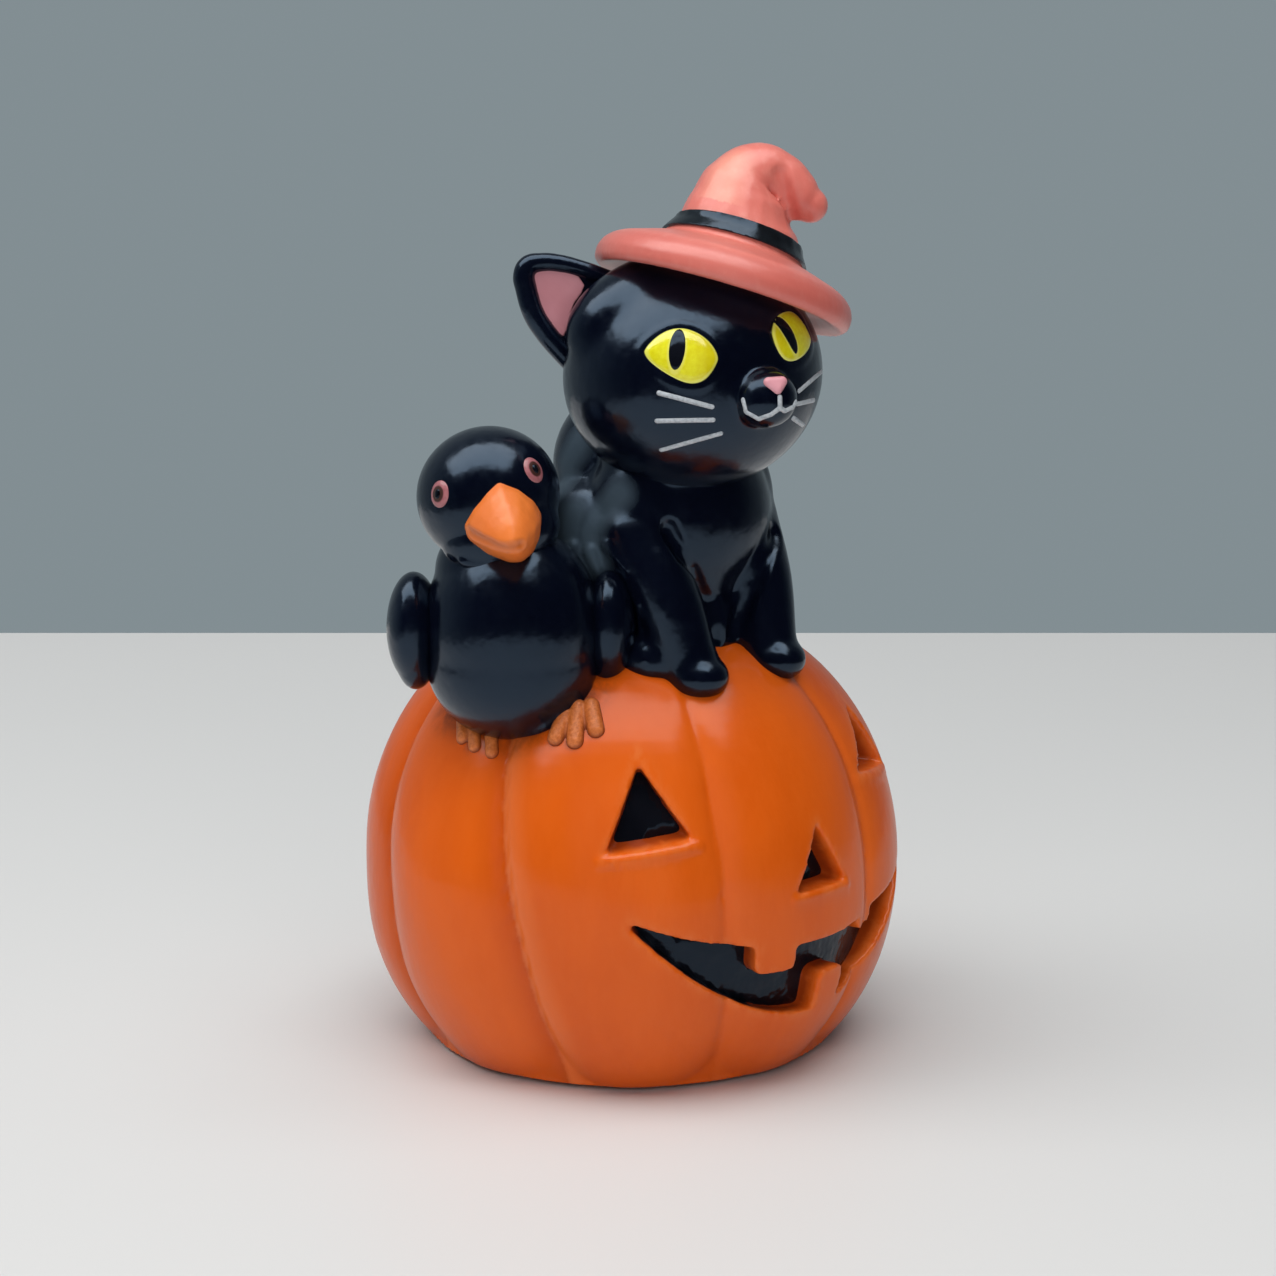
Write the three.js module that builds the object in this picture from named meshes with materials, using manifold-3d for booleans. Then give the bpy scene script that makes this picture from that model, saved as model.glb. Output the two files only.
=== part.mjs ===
// A hand-painted cast figurine: a black cat in a pointed hat and a crow, seated on a carved pumpkin.
// Millimetres, +Z up. The origin is the middle of the felt pad's underside, on the table.
// The pumpkin's face and the cat's chest look along -Y, so the figure's own left is +X.

import * as THREE from 'three';
import { mergeVertices } from 'three/addons/utils/BufferGeometryUtils.js';
import Module from 'manifold-3d';

// Joints between the castings
const GLUE_GAP = 0.3;
const PIN_RADIUS = 1.2;
const PIN_LENGTH = 9;
const PIN_CLEARANCE = 0.15;

// Pumpkin casting, with its black enamel and its felt pad
const PUMPKIN_RADIUS = 29.3;
const PUMPKIN_HEIGHT = 47.7;
const PUMPKIN_WIDEST_HEIGHT = 19.5;
const PUMPKIN_FOOT_RADIUS = 22.2;
const PUMPKIN_FOOT_HEIGHT = 0.4;
const RIB_COUNT = 8;
const RIB_GROOVE = 1.5;
const CARVING_DEPTH = 3.4;
const ENAMEL_THICKNESS = 0.5;
const FELT_RADIUS = 18;
const FELT_THICKNESS = 1;

// Carved face: distances run along the skin from the middle of the face, heights from the table
const RIGHT_EYE_HOLE_DISTANCE = 19.8;
const RIGHT_EYE_HOLE_SILL_HEIGHT = 28.4;
const LEFT_EYE_HOLE_DISTANCE = 17;
const LEFT_EYE_HOLE_SILL_HEIGHT = 30.7;
const EYE_HOLE_WIDTH = 9.7;
const EYE_HOLE_HEIGHT = 8;
const EYE_HOLE_APEX_SHIFT = 1.8;
const EYE_HOLE_SILL_SLOPE = 1;
const NOSE_HOLE_WIDTH = 7.2;
const NOSE_HOLE_SILL_HEIGHT = 22;
const NOSE_HOLE_HEIGHT = 6.7;
const GRIN_HALF_WIDTH = 22;
const GRIN_CORNER_HEIGHT = 20;
const UPPER_LIP_HEIGHT = 16.3;
const LOWER_LIP_HEIGHT = 8.4;
const RIGHT_TOOTH_DISTANCE = 6.2;
const RIGHT_TOOTH_WIDTH = 5;
const RIGHT_TOOTH_LENGTH = 2.8;
const LEFT_TOOTH_DISTANCE = 9;
const LEFT_TOOTH_WIDTH = 3.6;
const LEFT_TOOTH_LENGTH = 1.7;
const LOWER_TOOTH_DISTANCE = 2.3;
const LOWER_TOOTH_WIDTH = 4.4;
const LOWER_TOOTH_LENGTH = 4.2;

// Cat casting
const CAT_FORWARD = 3;
const TORSO_WIDTH = 22;
const TORSO_DEPTH = 23;
const TORSO_HEIGHT = 28;
const TORSO_SINK = 5.5;
const CHEST_WIDTH = 14.5;
const LEG_RADIUS = 3.4;
const LEG_SPREAD = 6.4;
const PAW_FORWARD = 12.7;
const PAW_WIDTH = 6.6;
const PAW_LENGTH = 7.2;
const PAW_HEIGHT = 4.8;
const HAUNCH_WIDTH = 10;
const HIND_PAW_WIDTH = 5.6;
const HIND_PAW_LENGTH = 8.8;
const HIND_PAW_HEIGHT = 5.2;
const TAIL_RADIUS = 2.2;
const TAIL_REACH = 13.5;

// Cat's head
const HEAD_WIDTH = 28;
const HEAD_DEPTH = 25.2;
const HEAD_HEIGHT = 24.4;
const HEAD_FORWARD = 6.4;
const HEAD_SINK = 8.4;
const HEAD_TURN_DEGREES = -17;
const HEAD_ROLL_DEGREES = -4;
const MUZZLE_WIDTH = 7.4;
const MUZZLE_HEIGHT = 5.8;
const MUZZLE_DEPTH = 5.6;
const MUZZLE_FORWARD = 0.3;
const MUZZLE_DROP = 1.2;
const MUZZLE_SHIFT = 1.6;
const EYE_DISTANCE = 6.4;
const EYE_RISE = 4.3;
const EYE_WIDTH = 7.4;
const EYE_HEIGHT = 6;
const EYE_BULGE = 0.9;
const EYE_SEAT_DEPTH = 0.5;
const EYE_SLANT_DEGREES = 13;
const PUPIL_WIDTH = 1.4;
const PUPIL_HEIGHT = 4.3;
const PUPIL_THICKNESS = 0.6;
const NOSE_WIDTH = 2.5;
const NOSE_HEIGHT = 1.8;
const NOSE_DEPTH = 1.8;
const NOSE_RISE = 2;
const MOUTH_WIDTH = 5.3;
const MOUTH_HEIGHT = 1.5;
const MOUTH_DROP = 1.2;
const WHISKER_RADIUS = 0.3;
const LEFT_WHISKER_SHIFT = 0.9;
const WHISKERS = [
  { word: 'top', root: [5.4, -0.9], tip: [9.8, 0.6] },
  { word: 'middle', root: [5.3, -2.4], tip: [10.1, -2] },
  { word: 'low', root: [4.6, -3.9], tip: [9.3, -5.4] },
];
const EAR_BASE = 11.4;
const EAR_LENGTH = 9.8;
const EAR_THICKNESS = 2.6;
const EAR_RIM = 1.2;
const EAR_LINING_THICKNESS = 0.6;
const EAR_SLOPE_DEGREES = 60.5;
const EAR_BACK_DEGREES = 19.8;
const EAR_ROOT_DEPTH = 3;
const EAR_ROOT_SHARES = [-0.68, 0.42, 0.53];

// Hat casting, tipped over the cat's left ear
const HAT_TILT_DEGREES = 25;
const HAT_LEAN_DEGREES = 5;
const HAT_FOLD_DEGREES = -29;
const HAT_LIFT = 0.1;
const HAT_SHIFT = 0.5;
const BRIM_RADIUS = 13.8;
const BRIM_THICKNESS = 2.4;
const BRIM_DROOP = 2.4;
const CROWN_RADIUS = 7.3;
const CROWN_HEIGHT = 12.2;
const BAND_HEIGHT = 2.2;
const BAND_THICKNESS = 0.5;

// Crow castings
const CROW_EDGE_DISTANCE = 9.9;
const CROW_PLACE_DEGREES = -84;
const CROW_TURN_DEGREES = -48;
const CROW_WIDTH = 18.2;
const CROW_DEPTH = 17.6;
const CROW_HEIGHT = 19.2;
const CROW_SINK = 5.4;
const CROW_HEAD_SIZE = 14.6;
const CROW_HEAD_RISE = 16.2;
const CROW_HEAD_SHIFT = 2.4;
const CROW_HEAD_BACK = 0.8;
const CROW_HEAD_TURN_DEGREES = 14;
const CROW_HEAD_ROLL_DEGREES = -15;
const BEAK_LENGTH = 8.6;
const BEAK_RADIUS = 4.2;
const BEAK_DROP = 4.4;
const BEAK_SEAT_DEPTH = 2;
const CROW_EYE_DISTANCE = 5.4;
const CROW_EYE_RISE = 1.6;
const CROW_EYE_BULGE = 0.3;
const CROW_EYE_WIDTH = 2.5;
const CROW_EYE_HEIGHT = 3.1;
const WING_HEIGHT = 12.2;
const WING_DEPTH = 9.6;
const WING_THICKNESS = 5;
const WING_FORWARD = 1.8;
const WING_RISE = 2.2;
const CROW_TAIL_LENGTH = 9;
const CROW_TAIL_WIDTH = 7.2;
const TOE_RADIUS = 0.85;
const TOE_LENGTH = 4.2;
const TOE_FAN = 0.4;
const FOOT_SPREAD = 4.3;
const FOOT_STEP = 0.3;
const FEET_TURN_DEGREES = 12;
const FEET_SKEW = 1.4;

// Paints and the other materials
const paint = (color, roughness) => new THREE.MeshStandardMaterial({ color, roughness, metalness: 0 });
const ORANGE = paint('#cd5f23', 0.45);
const BLACK_ENAMEL = paint('#08080b', 0.12);
const BLACK = paint('#11131a', 0.25);
const YELLOW = paint('#e1dc1e', 0.25);
const PINK = paint('#dd8f9c', 0.5);
const PALE_GREY = paint('#c9ccd1', 0.4);
const CORAL = paint('#e87f6f', 0.5);
const BEAK_ORANGE = paint('#e97b32', 0.4);
const CLAW_BROWN = paint('#a85a22', 0.5);
const FELT = paint('#1c1c1e', 0.95);
const STEEL = new THREE.MeshStandardMaterial({ color: '#9a9da1', roughness: 0.35, metalness: 1 });

const LEFT = 1;
const RIGHT = -1;
const radians = THREE.MathUtils.degToRad;
const wasm = await Module();
wasm.setup();

// A closed skin with its shared corners merged, its empty triangles dropped and its faces outwards
function closedSkin(geometry) {
  const bare = new THREE.BufferGeometry();
  bare.setAttribute('position', geometry.getAttribute('position').clone());
  bare.setIndex(geometry.getIndex());
  const skin = mergeVertices(bare);
  const place = skin.getAttribute('position');
  const corners = skin.getIndex().array;
  const [a, b, c] = [new THREE.Vector3(), new THREE.Vector3(), new THREE.Vector3()];
  const kept = [];
  let volume = 0;
  for (let i = 0; i < corners.length; i += 3) {
    const [p, q, r] = [corners[i], corners[i + 1], corners[i + 2]];
    if (p === q || q === r || r === p) continue;
    kept.push([p, q, r]);
    a.fromBufferAttribute(place, p);
    b.fromBufferAttribute(place, q);
    c.fromBufferAttribute(place, r);
    volume += a.dot(b.cross(c));
  }
  skin.setIndex(kept.flatMap(([p, q, r]) => (volume < 0 ? [p, r, q] : [p, q, r])));
  return skin;
}

function solidOf(geometry) {
  const skin = closedSkin(geometry);
  return new wasm.Manifold(new wasm.Mesh({
    numProp: 3,
    vertProperties: new Float32Array(skin.getAttribute('position').array),
    triVerts: new Uint32Array(skin.getIndex().array),
  }));
}

function geometryOf(solid) {
  const mesh = solid.getMesh();
  const geometry = new THREE.BufferGeometry();
  geometry.setAttribute('position', new THREE.BufferAttribute(new Float32Array(mesh.vertProperties), 3));
  geometry.setIndex(Array.from(mesh.triVerts));
  return geometry;
}

function join(...shapes) {
  return geometryOf(shapes.map(solidOf).reduce((whole, shape) => whole.add(shape)));
}

function cut(shape, ...tools) {
  return geometryOf(tools.map(solidOf).reduce((rest, tool) => rest.subtract(tool), solidOf(shape)));
}

function common(shape, other) {
  return geometryOf(solidOf(shape).intersect(solidOf(other)));
}

// An egg-shaped lump round a point
function ball([x, y, z], [rx, ry, rz], sides = 18, rows = 12) {
  return new THREE.SphereGeometry(1, sides, rows).rotateX(Math.PI / 2).scale(rx, ry, rz).translate(x, y, z);
}

// A limb: rings of changing radius along a smooth spine, drawn in to a rounded tip at both ends
function limb(points, radii, sides = 12, rings = 10) {
  const spine = new THREE.CatmullRomCurve3(points.map((point) => new THREE.Vector3(...point)));
  const { normals, binormals } = spine.computeFrenetFrames(rings);
  const skin = new THREE.SphereGeometry(1, sides, rings);
  const place = skin.getAttribute('position');
  for (let ring = 0; ring <= rings; ring += 1) {
    const along = ring / rings;
    const step = Math.min(Math.floor(along * (radii.length - 1)), radii.length - 2);
    const between = along * (radii.length - 1) - step;
    const rounding = Math.sqrt(1 - Math.abs(2 * along - 1) ** 5);
    const radius = THREE.MathUtils.lerp(radii[step], radii[step + 1], between) * rounding;
    for (let side = 0; side <= sides; side += 1) {
      const turn = (2 * Math.PI * side) / sides;
      const point = spine.getPointAt(along);
      point.addScaledVector(normals[ring], radius * Math.cos(turn));
      point.addScaledVector(binormals[ring], radius * Math.sin(turn));
      place.setXYZ(ring * (sides + 1) + side, point.x, point.y, point.z);
    }
  }
  return skin;
}

// A round bar centred on a point, lying along a direction
function bar(middle, direction, radius, length, sides = 10) {
  const turn = new THREE.Quaternion();
  turn.setFromUnitVectors(new THREE.Vector3(0, 1, 0), direction.clone().normalize());
  return new THREE.CylinderGeometry(radius, radius, length, sides)
    .applyQuaternion(turn)
    .translate(middle.x, middle.y, middle.z);
}

function pin(middle, direction, clearance = 0) {
  return bar(middle, direction, PIN_RADIUS + clearance, PIN_LENGTH + 2 * clearance);
}

// A shape of one group's frame, as it lies in another's
function seenFrom(group, shape, owner) {
  const move = group.matrixWorld.clone().invert().multiply(owner.matrixWorld);
  return shape.clone().applyMatrix4(move);
}

function add(group, name, geometry, material) {
  const skin = closedSkin(geometry);
  skin.computeVertexNormals();
  const mesh = new THREE.Mesh(skin, material);
  mesh.name = name;
  group.add(mesh);
}

// Pumpkin: two superellipse quarters meet at the widest ring, and the ribs sink into narrow grooves
const CROWN_RISE = PUMPKIN_HEIGHT - PUMPKIN_WIDEST_HEIGHT;
const SKIRT_DROP = PUMPKIN_WIDEST_HEIGHT - PUMPKIN_FOOT_HEIGHT;
const UPPER_CURVE = { height: 2.02, radius: 2.43 };
const LOWER_CURVE = { height: 2.2, radius: 2.35 };
const FOOT_SHARE = 1 - (PUMPKIN_FOOT_RADIUS / PUMPKIN_RADIUS) ** LOWER_CURVE.radius;
const SKIRT_REACH = SKIRT_DROP / FOOT_SHARE ** (1 / LOWER_CURVE.height);
const SKIN_SIDES = 6 * RIB_COUNT;
const SKIN_ROWS = 8;

function ribSink(angle) {
  const rib = (angle * RIB_COUNT) / (2 * Math.PI);
  const fromCrest = Math.abs(rib - Math.round(rib)) * 2;
  return RIB_GROOVE * fromCrest ** 3;
}

// Points of the pumpkin's profile, grown or shrunk by a number of millimetres
function pumpkinProfile(grow) {
  const profile = [];
  const footTurn = Math.asin(FOOT_SHARE ** 0.5);
  for (let row = 0; row < SKIN_ROWS; row += 1) {
    const turn = footTurn * (1 - row / SKIN_ROWS);
    const height = PUMPKIN_WIDEST_HEIGHT - SKIRT_REACH * Math.sin(turn) ** (2 / LOWER_CURVE.height);
    const radius = (PUMPKIN_RADIUS + grow) * Math.cos(turn) ** (2 / LOWER_CURVE.radius);
    profile.push(new THREE.Vector2(radius, row === 0 ? height - Math.max(grow, 0) : height));
  }
  for (let row = 0; row <= SKIN_ROWS; row += 1) {
    const turn = (Math.PI / 2) * (row / SKIN_ROWS);
    const height = PUMPKIN_WIDEST_HEIGHT + (CROWN_RISE + grow) * Math.sin(turn) ** (2 / UPPER_CURVE.height);
    const radius = row === SKIN_ROWS
      ? 0
      : (PUMPKIN_RADIUS + grow) * Math.cos(turn) ** (2 / UPPER_CURVE.radius);
    profile.push(new THREE.Vector2(radius, height));
  }
  profile.unshift(new THREE.Vector2(0, profile[0].y));
  return profile;
}

function pumpkinSkin(grow = 0, ribbed = true) {
  const skin = new THREE.LatheGeometry(pumpkinProfile(grow), SKIN_SIDES).rotateX(Math.PI / 2);
  if (!ribbed) return skin;
  const place = skin.getAttribute('position');
  for (let i = 0; i < place.count; i += 1) {
    const radius = Math.hypot(place.getX(i), place.getY(i));
    const angle = Math.atan2(place.getX(i), -place.getY(i));
    const sunk = radius - (ribSink(angle) * radius) / PUMPKIN_RADIUS;
    place.setXYZ(i, sunk * Math.sin(angle), -sunk * Math.cos(angle), place.getZ(i));
  }
  return skin;
}

// Height of the pumpkin's upper skin at a distance from its axis
function pumpkinTop(distance) {
  const share = 1 - (distance / PUMPKIN_RADIUS) ** UPPER_CURVE.radius;
  return PUMPKIN_WIDEST_HEIGHT + CROWN_RISE * share ** (1 / UPPER_CURVE.height);
}

// A point over the pumpkin, by its distance from the axis, its angle round it and its lift off the skin
function onPumpkin(distance, angle, lift) {
  return [distance * Math.sin(angle), -distance * Math.cos(angle), pumpkinTop(distance) + lift];
}

// Outlines of the carved face, anticlockwise, as distance along the skin and height
function eyeOutline(side) {
  const distance = side === LEFT ? LEFT_EYE_HOLE_DISTANCE : RIGHT_EYE_HOLE_DISTANCE;
  const sill = side === LEFT ? LEFT_EYE_HOLE_SILL_HEIGHT : RIGHT_EYE_HOLE_SILL_HEIGHT;
  const half = EYE_HOLE_WIDTH / 2;
  const slope = EYE_HOLE_SILL_SLOPE / 2;
  const corners = [
    [distance - half, sill + slope],
    [distance + half, sill - slope],
    [distance + EYE_HOLE_APEX_SHIFT, sill + EYE_HOLE_HEIGHT],
  ];
  return side === LEFT ? corners : corners.map(([along, height]) => [-along, height]).reverse();
}

function noseOutline() {
  const half = NOSE_HOLE_WIDTH / 2;
  return [
    [-half, NOSE_HOLE_SILL_HEIGHT],
    [half, NOSE_HOLE_SILL_HEIGHT],
    [0, NOSE_HOLE_SILL_HEIGHT + NOSE_HOLE_HEIGHT],
  ];
}

function lipHeight(along, middleHeight) {
  return middleHeight + (GRIN_CORNER_HEIGHT - middleHeight) * (along / GRIN_HALF_WIDTH) ** 2;
}

function grinOutline() {
  const lipSteps = 6;
  const lip = (from, to, middleHeight) => {
    const points = [];
    for (let step = 1; step < lipSteps; step += 1) {
      const along = THREE.MathUtils.lerp(from, to, step / lipSteps);
      points.push([along, lipHeight(along, middleHeight)]);
    }
    return points;
  };
  const tooth = (from, to, middleHeight, length) => [
    [from, lipHeight(from, middleHeight)],
    [from, lipHeight((from + to) / 2, middleHeight) + length],
    [to, lipHeight((from + to) / 2, middleHeight) + length],
    [to, lipHeight(to, middleHeight)],
  ];
  const lowFrom = LOWER_TOOTH_DISTANCE - LOWER_TOOTH_WIDTH / 2;
  const lowTo = LOWER_TOOTH_DISTANCE + LOWER_TOOTH_WIDTH / 2;
  const leftIn = LEFT_TOOTH_DISTANCE - LEFT_TOOTH_WIDTH / 2;
  const leftOut = LEFT_TOOTH_DISTANCE + LEFT_TOOTH_WIDTH / 2;
  const rightIn = -RIGHT_TOOTH_DISTANCE + RIGHT_TOOTH_WIDTH / 2;
  const rightOut = -RIGHT_TOOTH_DISTANCE - RIGHT_TOOTH_WIDTH / 2;
  return [
    [-GRIN_HALF_WIDTH, GRIN_CORNER_HEIGHT],
    ...lip(-GRIN_HALF_WIDTH, lowFrom, LOWER_LIP_HEIGHT),
    ...tooth(lowFrom, lowTo, LOWER_LIP_HEIGHT, LOWER_TOOTH_LENGTH),
    ...lip(lowTo, GRIN_HALF_WIDTH, LOWER_LIP_HEIGHT),
    [GRIN_HALF_WIDTH, GRIN_CORNER_HEIGHT],
    ...lip(GRIN_HALF_WIDTH, leftOut, UPPER_LIP_HEIGHT),
    ...tooth(leftOut, leftIn, UPPER_LIP_HEIGHT, -LEFT_TOOTH_LENGTH),
    ...tooth(rightIn, rightOut, UPPER_LIP_HEIGHT, -RIGHT_TOOTH_LENGTH),
    ...lip(rightOut, -GRIN_HALF_WIDTH, UPPER_LIP_HEIGHT),
  ];
}

// The outline drawn in all round by a distance, each corner moving along the bisector of its edges
function drawnIn(outline, distance) {
  return outline.map(([x, y], i) => {
    const before = outline[(i + outline.length - 1) % outline.length];
    const after = outline[(i + 1) % outline.length];
    const edgeIn = new THREE.Vector2(x - before[0], y - before[1]).normalize();
    const edgeOut = new THREE.Vector2(after[0] - x, after[1] - y).normalize();
    const bisector = new THREE.Vector2(-edgeIn.y - edgeOut.y, edgeIn.x + edgeOut.x);
    const reach = (2 * distance) / bisector.lengthSq();
    return [x + bisector.x * reach, y + bisector.y * reach];
  });
}

// A plug of that outline, from deep inside the pumpkin to clear outside it
function carvingPlug(outline) {
  const shape = new THREE.Shape(outline.map(([x, y]) => new THREE.Vector2(x, y)));
  const inside = PUMPKIN_RADIUS / 2;
  const plug = new THREE.ExtrudeGeometry(shape, { depth: PUMPKIN_RADIUS, bevelEnabled: false });
  const place = plug.getAttribute('position');
  for (let i = 0; i < place.count; i += 1) {
    const angle = place.getX(i) / PUMPKIN_RADIUS;
    const radius = inside + place.getZ(i);
    place.setXYZ(i, radius * Math.sin(angle), -radius * Math.cos(angle), place.getY(i));
  }
  return plug;
}

// Frames of the figure: the cat stands on the crown, its head turns, and the crow has its own place
const figure = new THREE.Group();
const cat = new THREE.Group();
const head = new THREE.Group();
const hat = new THREE.Group();
const crow = new THREE.Group();
const crowHead = new THREE.Group();
figure.add(cat, crow);
cat.add(head);
head.add(hat);
crow.add(crowHead);

const TORSO_RISE = TORSO_HEIGHT / 2 - TORSO_SINK;
cat.position.set(0, -CAT_FORWARD, PUMPKIN_HEIGHT);
head.position.set(0, -HEAD_FORWARD, TORSO_RISE + TORSO_HEIGHT / 2 + HEAD_HEIGHT / 2 - HEAD_SINK);
head.rotation.set(0, radians(HEAD_ROLL_DEGREES), radians(HEAD_TURN_DEGREES), 'ZYX');

const HEAD_RADII = new THREE.Vector3(HEAD_WIDTH / 2, HEAD_DEPTH / 2, HEAD_HEIGHT / 2);
hat.rotation.set(radians(-HAT_LEAN_DEGREES), radians(HAT_TILT_DEGREES), 0, 'ZYX');
const hatAxis = new THREE.Vector3(0, 0, 1).applyEuler(hat.rotation);
const headReach = 1 / hatAxis.clone().divide(HEAD_RADII).length();
const foldTurn = radians(HAT_FOLD_DEGREES);
hat.position.copy(hatAxis).multiplyScalar(headReach + HAT_LIFT);
hat.translateOnAxis(new THREE.Vector3(Math.cos(foldTurn), Math.sin(foldTurn), 0), HAT_SHIFT);

const crowPlace = radians(CROW_PLACE_DEGREES);
const crowOut = PUMPKIN_RADIUS - CROW_EDGE_DISTANCE;
crow.position.set(...onPumpkin(crowOut, crowPlace, CROW_HEIGHT / 2 - CROW_SINK));
crow.rotation.z = radians(CROW_TURN_DEGREES);
crowHead.position.set(-CROW_HEAD_SHIFT, CROW_HEAD_BACK, CROW_HEAD_RISE);
crowHead.rotation.set(0, radians(CROW_HEAD_ROLL_DEGREES), radians(CROW_HEAD_TURN_DEGREES), 'ZYX');
figure.updateMatrixWorld(true);

// Steel pins that line the castings up: two under the cat, one each in the necks, hat and crow
const up = new THREE.Vector3(0, 0, 1);
const seatPins = [LEFT, RIGHT].map((side) => new THREE.Vector3(side * TORSO_WIDTH / 4, 0, 0));
const toTorso = new THREE.Vector3(0, 0, TORSO_RISE).sub(head.position).normalize();
const neckPin = toTorso.clone().multiplyScalar(HEAD_HEIGHT / 2).add(head.position);
const hatPin = hatAxis.clone().multiplyScalar(headReach);
const toCrowBody = crowHead.position.clone().negate().normalize();
const crowNeckPin = toCrowBody.clone().multiplyScalar(CROW_HEAD_SIZE / 2).add(crowHead.position);
const crowSeatPin = new THREE.Vector3(0, 0, CROW_SINK - CROW_HEIGHT / 2);

// Cat: torso, breast, haunches, straight front legs and four paws in one casting
function catBodyShape(grow) {
  const grown = (radii) => radii.map((radius) => radius + grow);
  const pawFoot = pumpkinTop(Math.hypot(LEG_SPREAD, PAW_FORWARD + CAT_FORWARD)) - PUMPKIN_HEIGHT;
  const thigh = TORSO_WIDTH / 2 - HAUNCH_WIDTH / 3;
  const chest = [0, -TORSO_DEPTH / 4, TORSO_RISE];
  const hump = [0, TORSO_DEPTH * 0.13, TORSO_RISE + TORSO_HEIGHT * 0.26];
  const shapes = [
    ball([0, 0, TORSO_RISE], grown([TORSO_WIDTH / 2, TORSO_DEPTH / 2, TORSO_HEIGHT / 2]), 16, 10),
    ball(chest, grown([CHEST_WIDTH / 2, TORSO_DEPTH * 0.28, TORSO_HEIGHT * 0.29]), 14, 8),
    ball(hump, grown([TORSO_WIDTH * 0.42, TORSO_DEPTH * 0.32, TORSO_HEIGHT * 0.31]), 14, 8),
  ];
  for (const side of [LEFT, RIGHT]) {
    const shoulder = [side * LEG_SPREAD * 1.06, -TORSO_DEPTH * 0.26, TORSO_RISE + TORSO_HEIGHT * 0.12];
    const knee = [side * LEG_SPREAD, -PAW_FORWARD + LEG_RADIUS * 0.6, TORSO_RISE * 0.4];
    const ankle = [side * LEG_SPREAD, -PAW_FORWARD, pawFoot];
    const paw = [side * LEG_SPREAD, -PAW_FORWARD - PAW_LENGTH * 0.12, pawFoot + PAW_HEIGHT / 4];
    const hindPaw = [side * (thigh + HIND_PAW_WIDTH * 0.4), -TORSO_DEPTH / 3, pawFoot + HIND_PAW_HEIGHT / 2];
    const haunch = [side * thigh, 1, TORSO_HEIGHT * 0.09];
    shapes.push(
      ball(shoulder, grown([LEG_RADIUS * 1.35, LEG_RADIUS * 1.6, TORSO_HEIGHT * 0.25]), 12, 8),
      limb([shoulder, knee, ankle], grown([LEG_RADIUS * 1.3, LEG_RADIUS, LEG_RADIUS * 1.05]), 10, 7),
      ball(paw, grown([PAW_WIDTH / 2, PAW_LENGTH / 2, PAW_HEIGHT / 2]), 12, 6),
      ball(haunch, grown([HAUNCH_WIDTH / 2, TORSO_DEPTH / 3, TORSO_HEIGHT * 0.26]), 14, 8),
      ball(hindPaw, grown([HIND_PAW_WIDTH / 2, HIND_PAW_LENGTH / 2, HIND_PAW_HEIGHT / 2]), 10, 6),
    );
  }
  return join(...shapes);
}

// Head: a wide egg with a small round muzzle
const MUZZLE_MIDDLE = [MUZZLE_SHIFT, -HEAD_DEPTH / 2 - MUZZLE_FORWARD, -MUZZLE_DROP];
const MUZZLE_RADII = [MUZZLE_WIDTH / 2, MUZZLE_DEPTH / 2, MUZZLE_HEIGHT / 2];

function catHeadShape(grow) {
  const grown = (radii) => radii.map((radius) => radius + grow);
  return join(
    ball([0, 0, 0], grown(HEAD_RADII.toArray()), 22, 14),
    ball(MUZZLE_MIDDLE, grown(MUZZLE_RADII), 14, 8),
  );
}

// The point of an egg's front at a place across and up it, lifted off its skin
function onFront([cx, cy, cz], [rx, ry, rz], x, z, lift) {
  const front = Math.sqrt(1 - (x / (rx + lift)) ** 2 - (z / (rz + lift)) ** 2);
  return [cx + x, cy - (ry + lift) * front, cz + z];
}

// A frame on an egg's front, looking straight out of it, with a slant about the way that it looks
function frontFrame(owner, radii, x, z, sink, slant) {
  const point = new THREE.Vector3(...onFront([0, 0, 0], radii, x, z, 0));
  const squares = new THREE.Vector3(...radii.map((radius) => radius ** 2));
  const outwards = point.clone().divide(squares).normalize();
  const frame = new THREE.Group();
  frame.position.copy(point).addScaledVector(outwards, -sink);
  frame.quaternion.setFromUnitVectors(new THREE.Vector3(0, -1, 0), outwards);
  frame.rotateY(slant);
  owner.add(frame);
  frame.updateMatrixWorld(true);
  return frame;
}

// Eyes: a lens in its socket, with the pupil let into its front
function lens(size, grow) {
  const bulge = size.bulge + EYE_SEAT_DEPTH;
  return ball([0, 0, 0], [size.width / 2 + grow, bulge + grow, size.height / 2 + grow], 12, 6);
}

function pupil(size, grow) {
  const front = size.bulge + EYE_SEAT_DEPTH - PUPIL_THICKNESS / 2;
  const radii = [size.pupilWidth / 2 + grow, PUPIL_THICKNESS + grow, size.pupilHeight / 2 + grow];
  return ball([0, -front, 0], radii, 8, 4);
}

function addEye(frame, owner, word, size, rim) {
  add(frame, `${owner}_eye_${word}`, cut(lens(size, 0), pupil(size, GLUE_GAP / 2)), rim);
  add(frame, `${owner}_pupil_${word}`, pupil(size, 0), BLACK_ENAMEL);
}

// Ear: a thick rounded triangle with a sunk front for its lining
function earOutline(inset) {
  const half = EAR_BASE / 2 - inset * 1.6;
  const low = -EAR_ROOT_DEPTH + inset * 2.6;
  const tip = [EAR_BASE * 0.27, EAR_LENGTH - inset * 1.9];
  const shape = new THREE.Shape();
  shape.moveTo(-half, low);
  shape.lineTo(half, low);
  shape.quadraticCurveTo(half + 0.6 - inset * 0.4, tip[1] * 0.62, tip[0] + 0.7, tip[1]);
  shape.quadraticCurveTo(tip[0], tip[1] + 0.5, tip[0] - 0.8, tip[1] - 0.2);
  shape.quadraticCurveTo(-half * 0.55, tip[1] * 0.72, -half, low);
  return shape;
}

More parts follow.
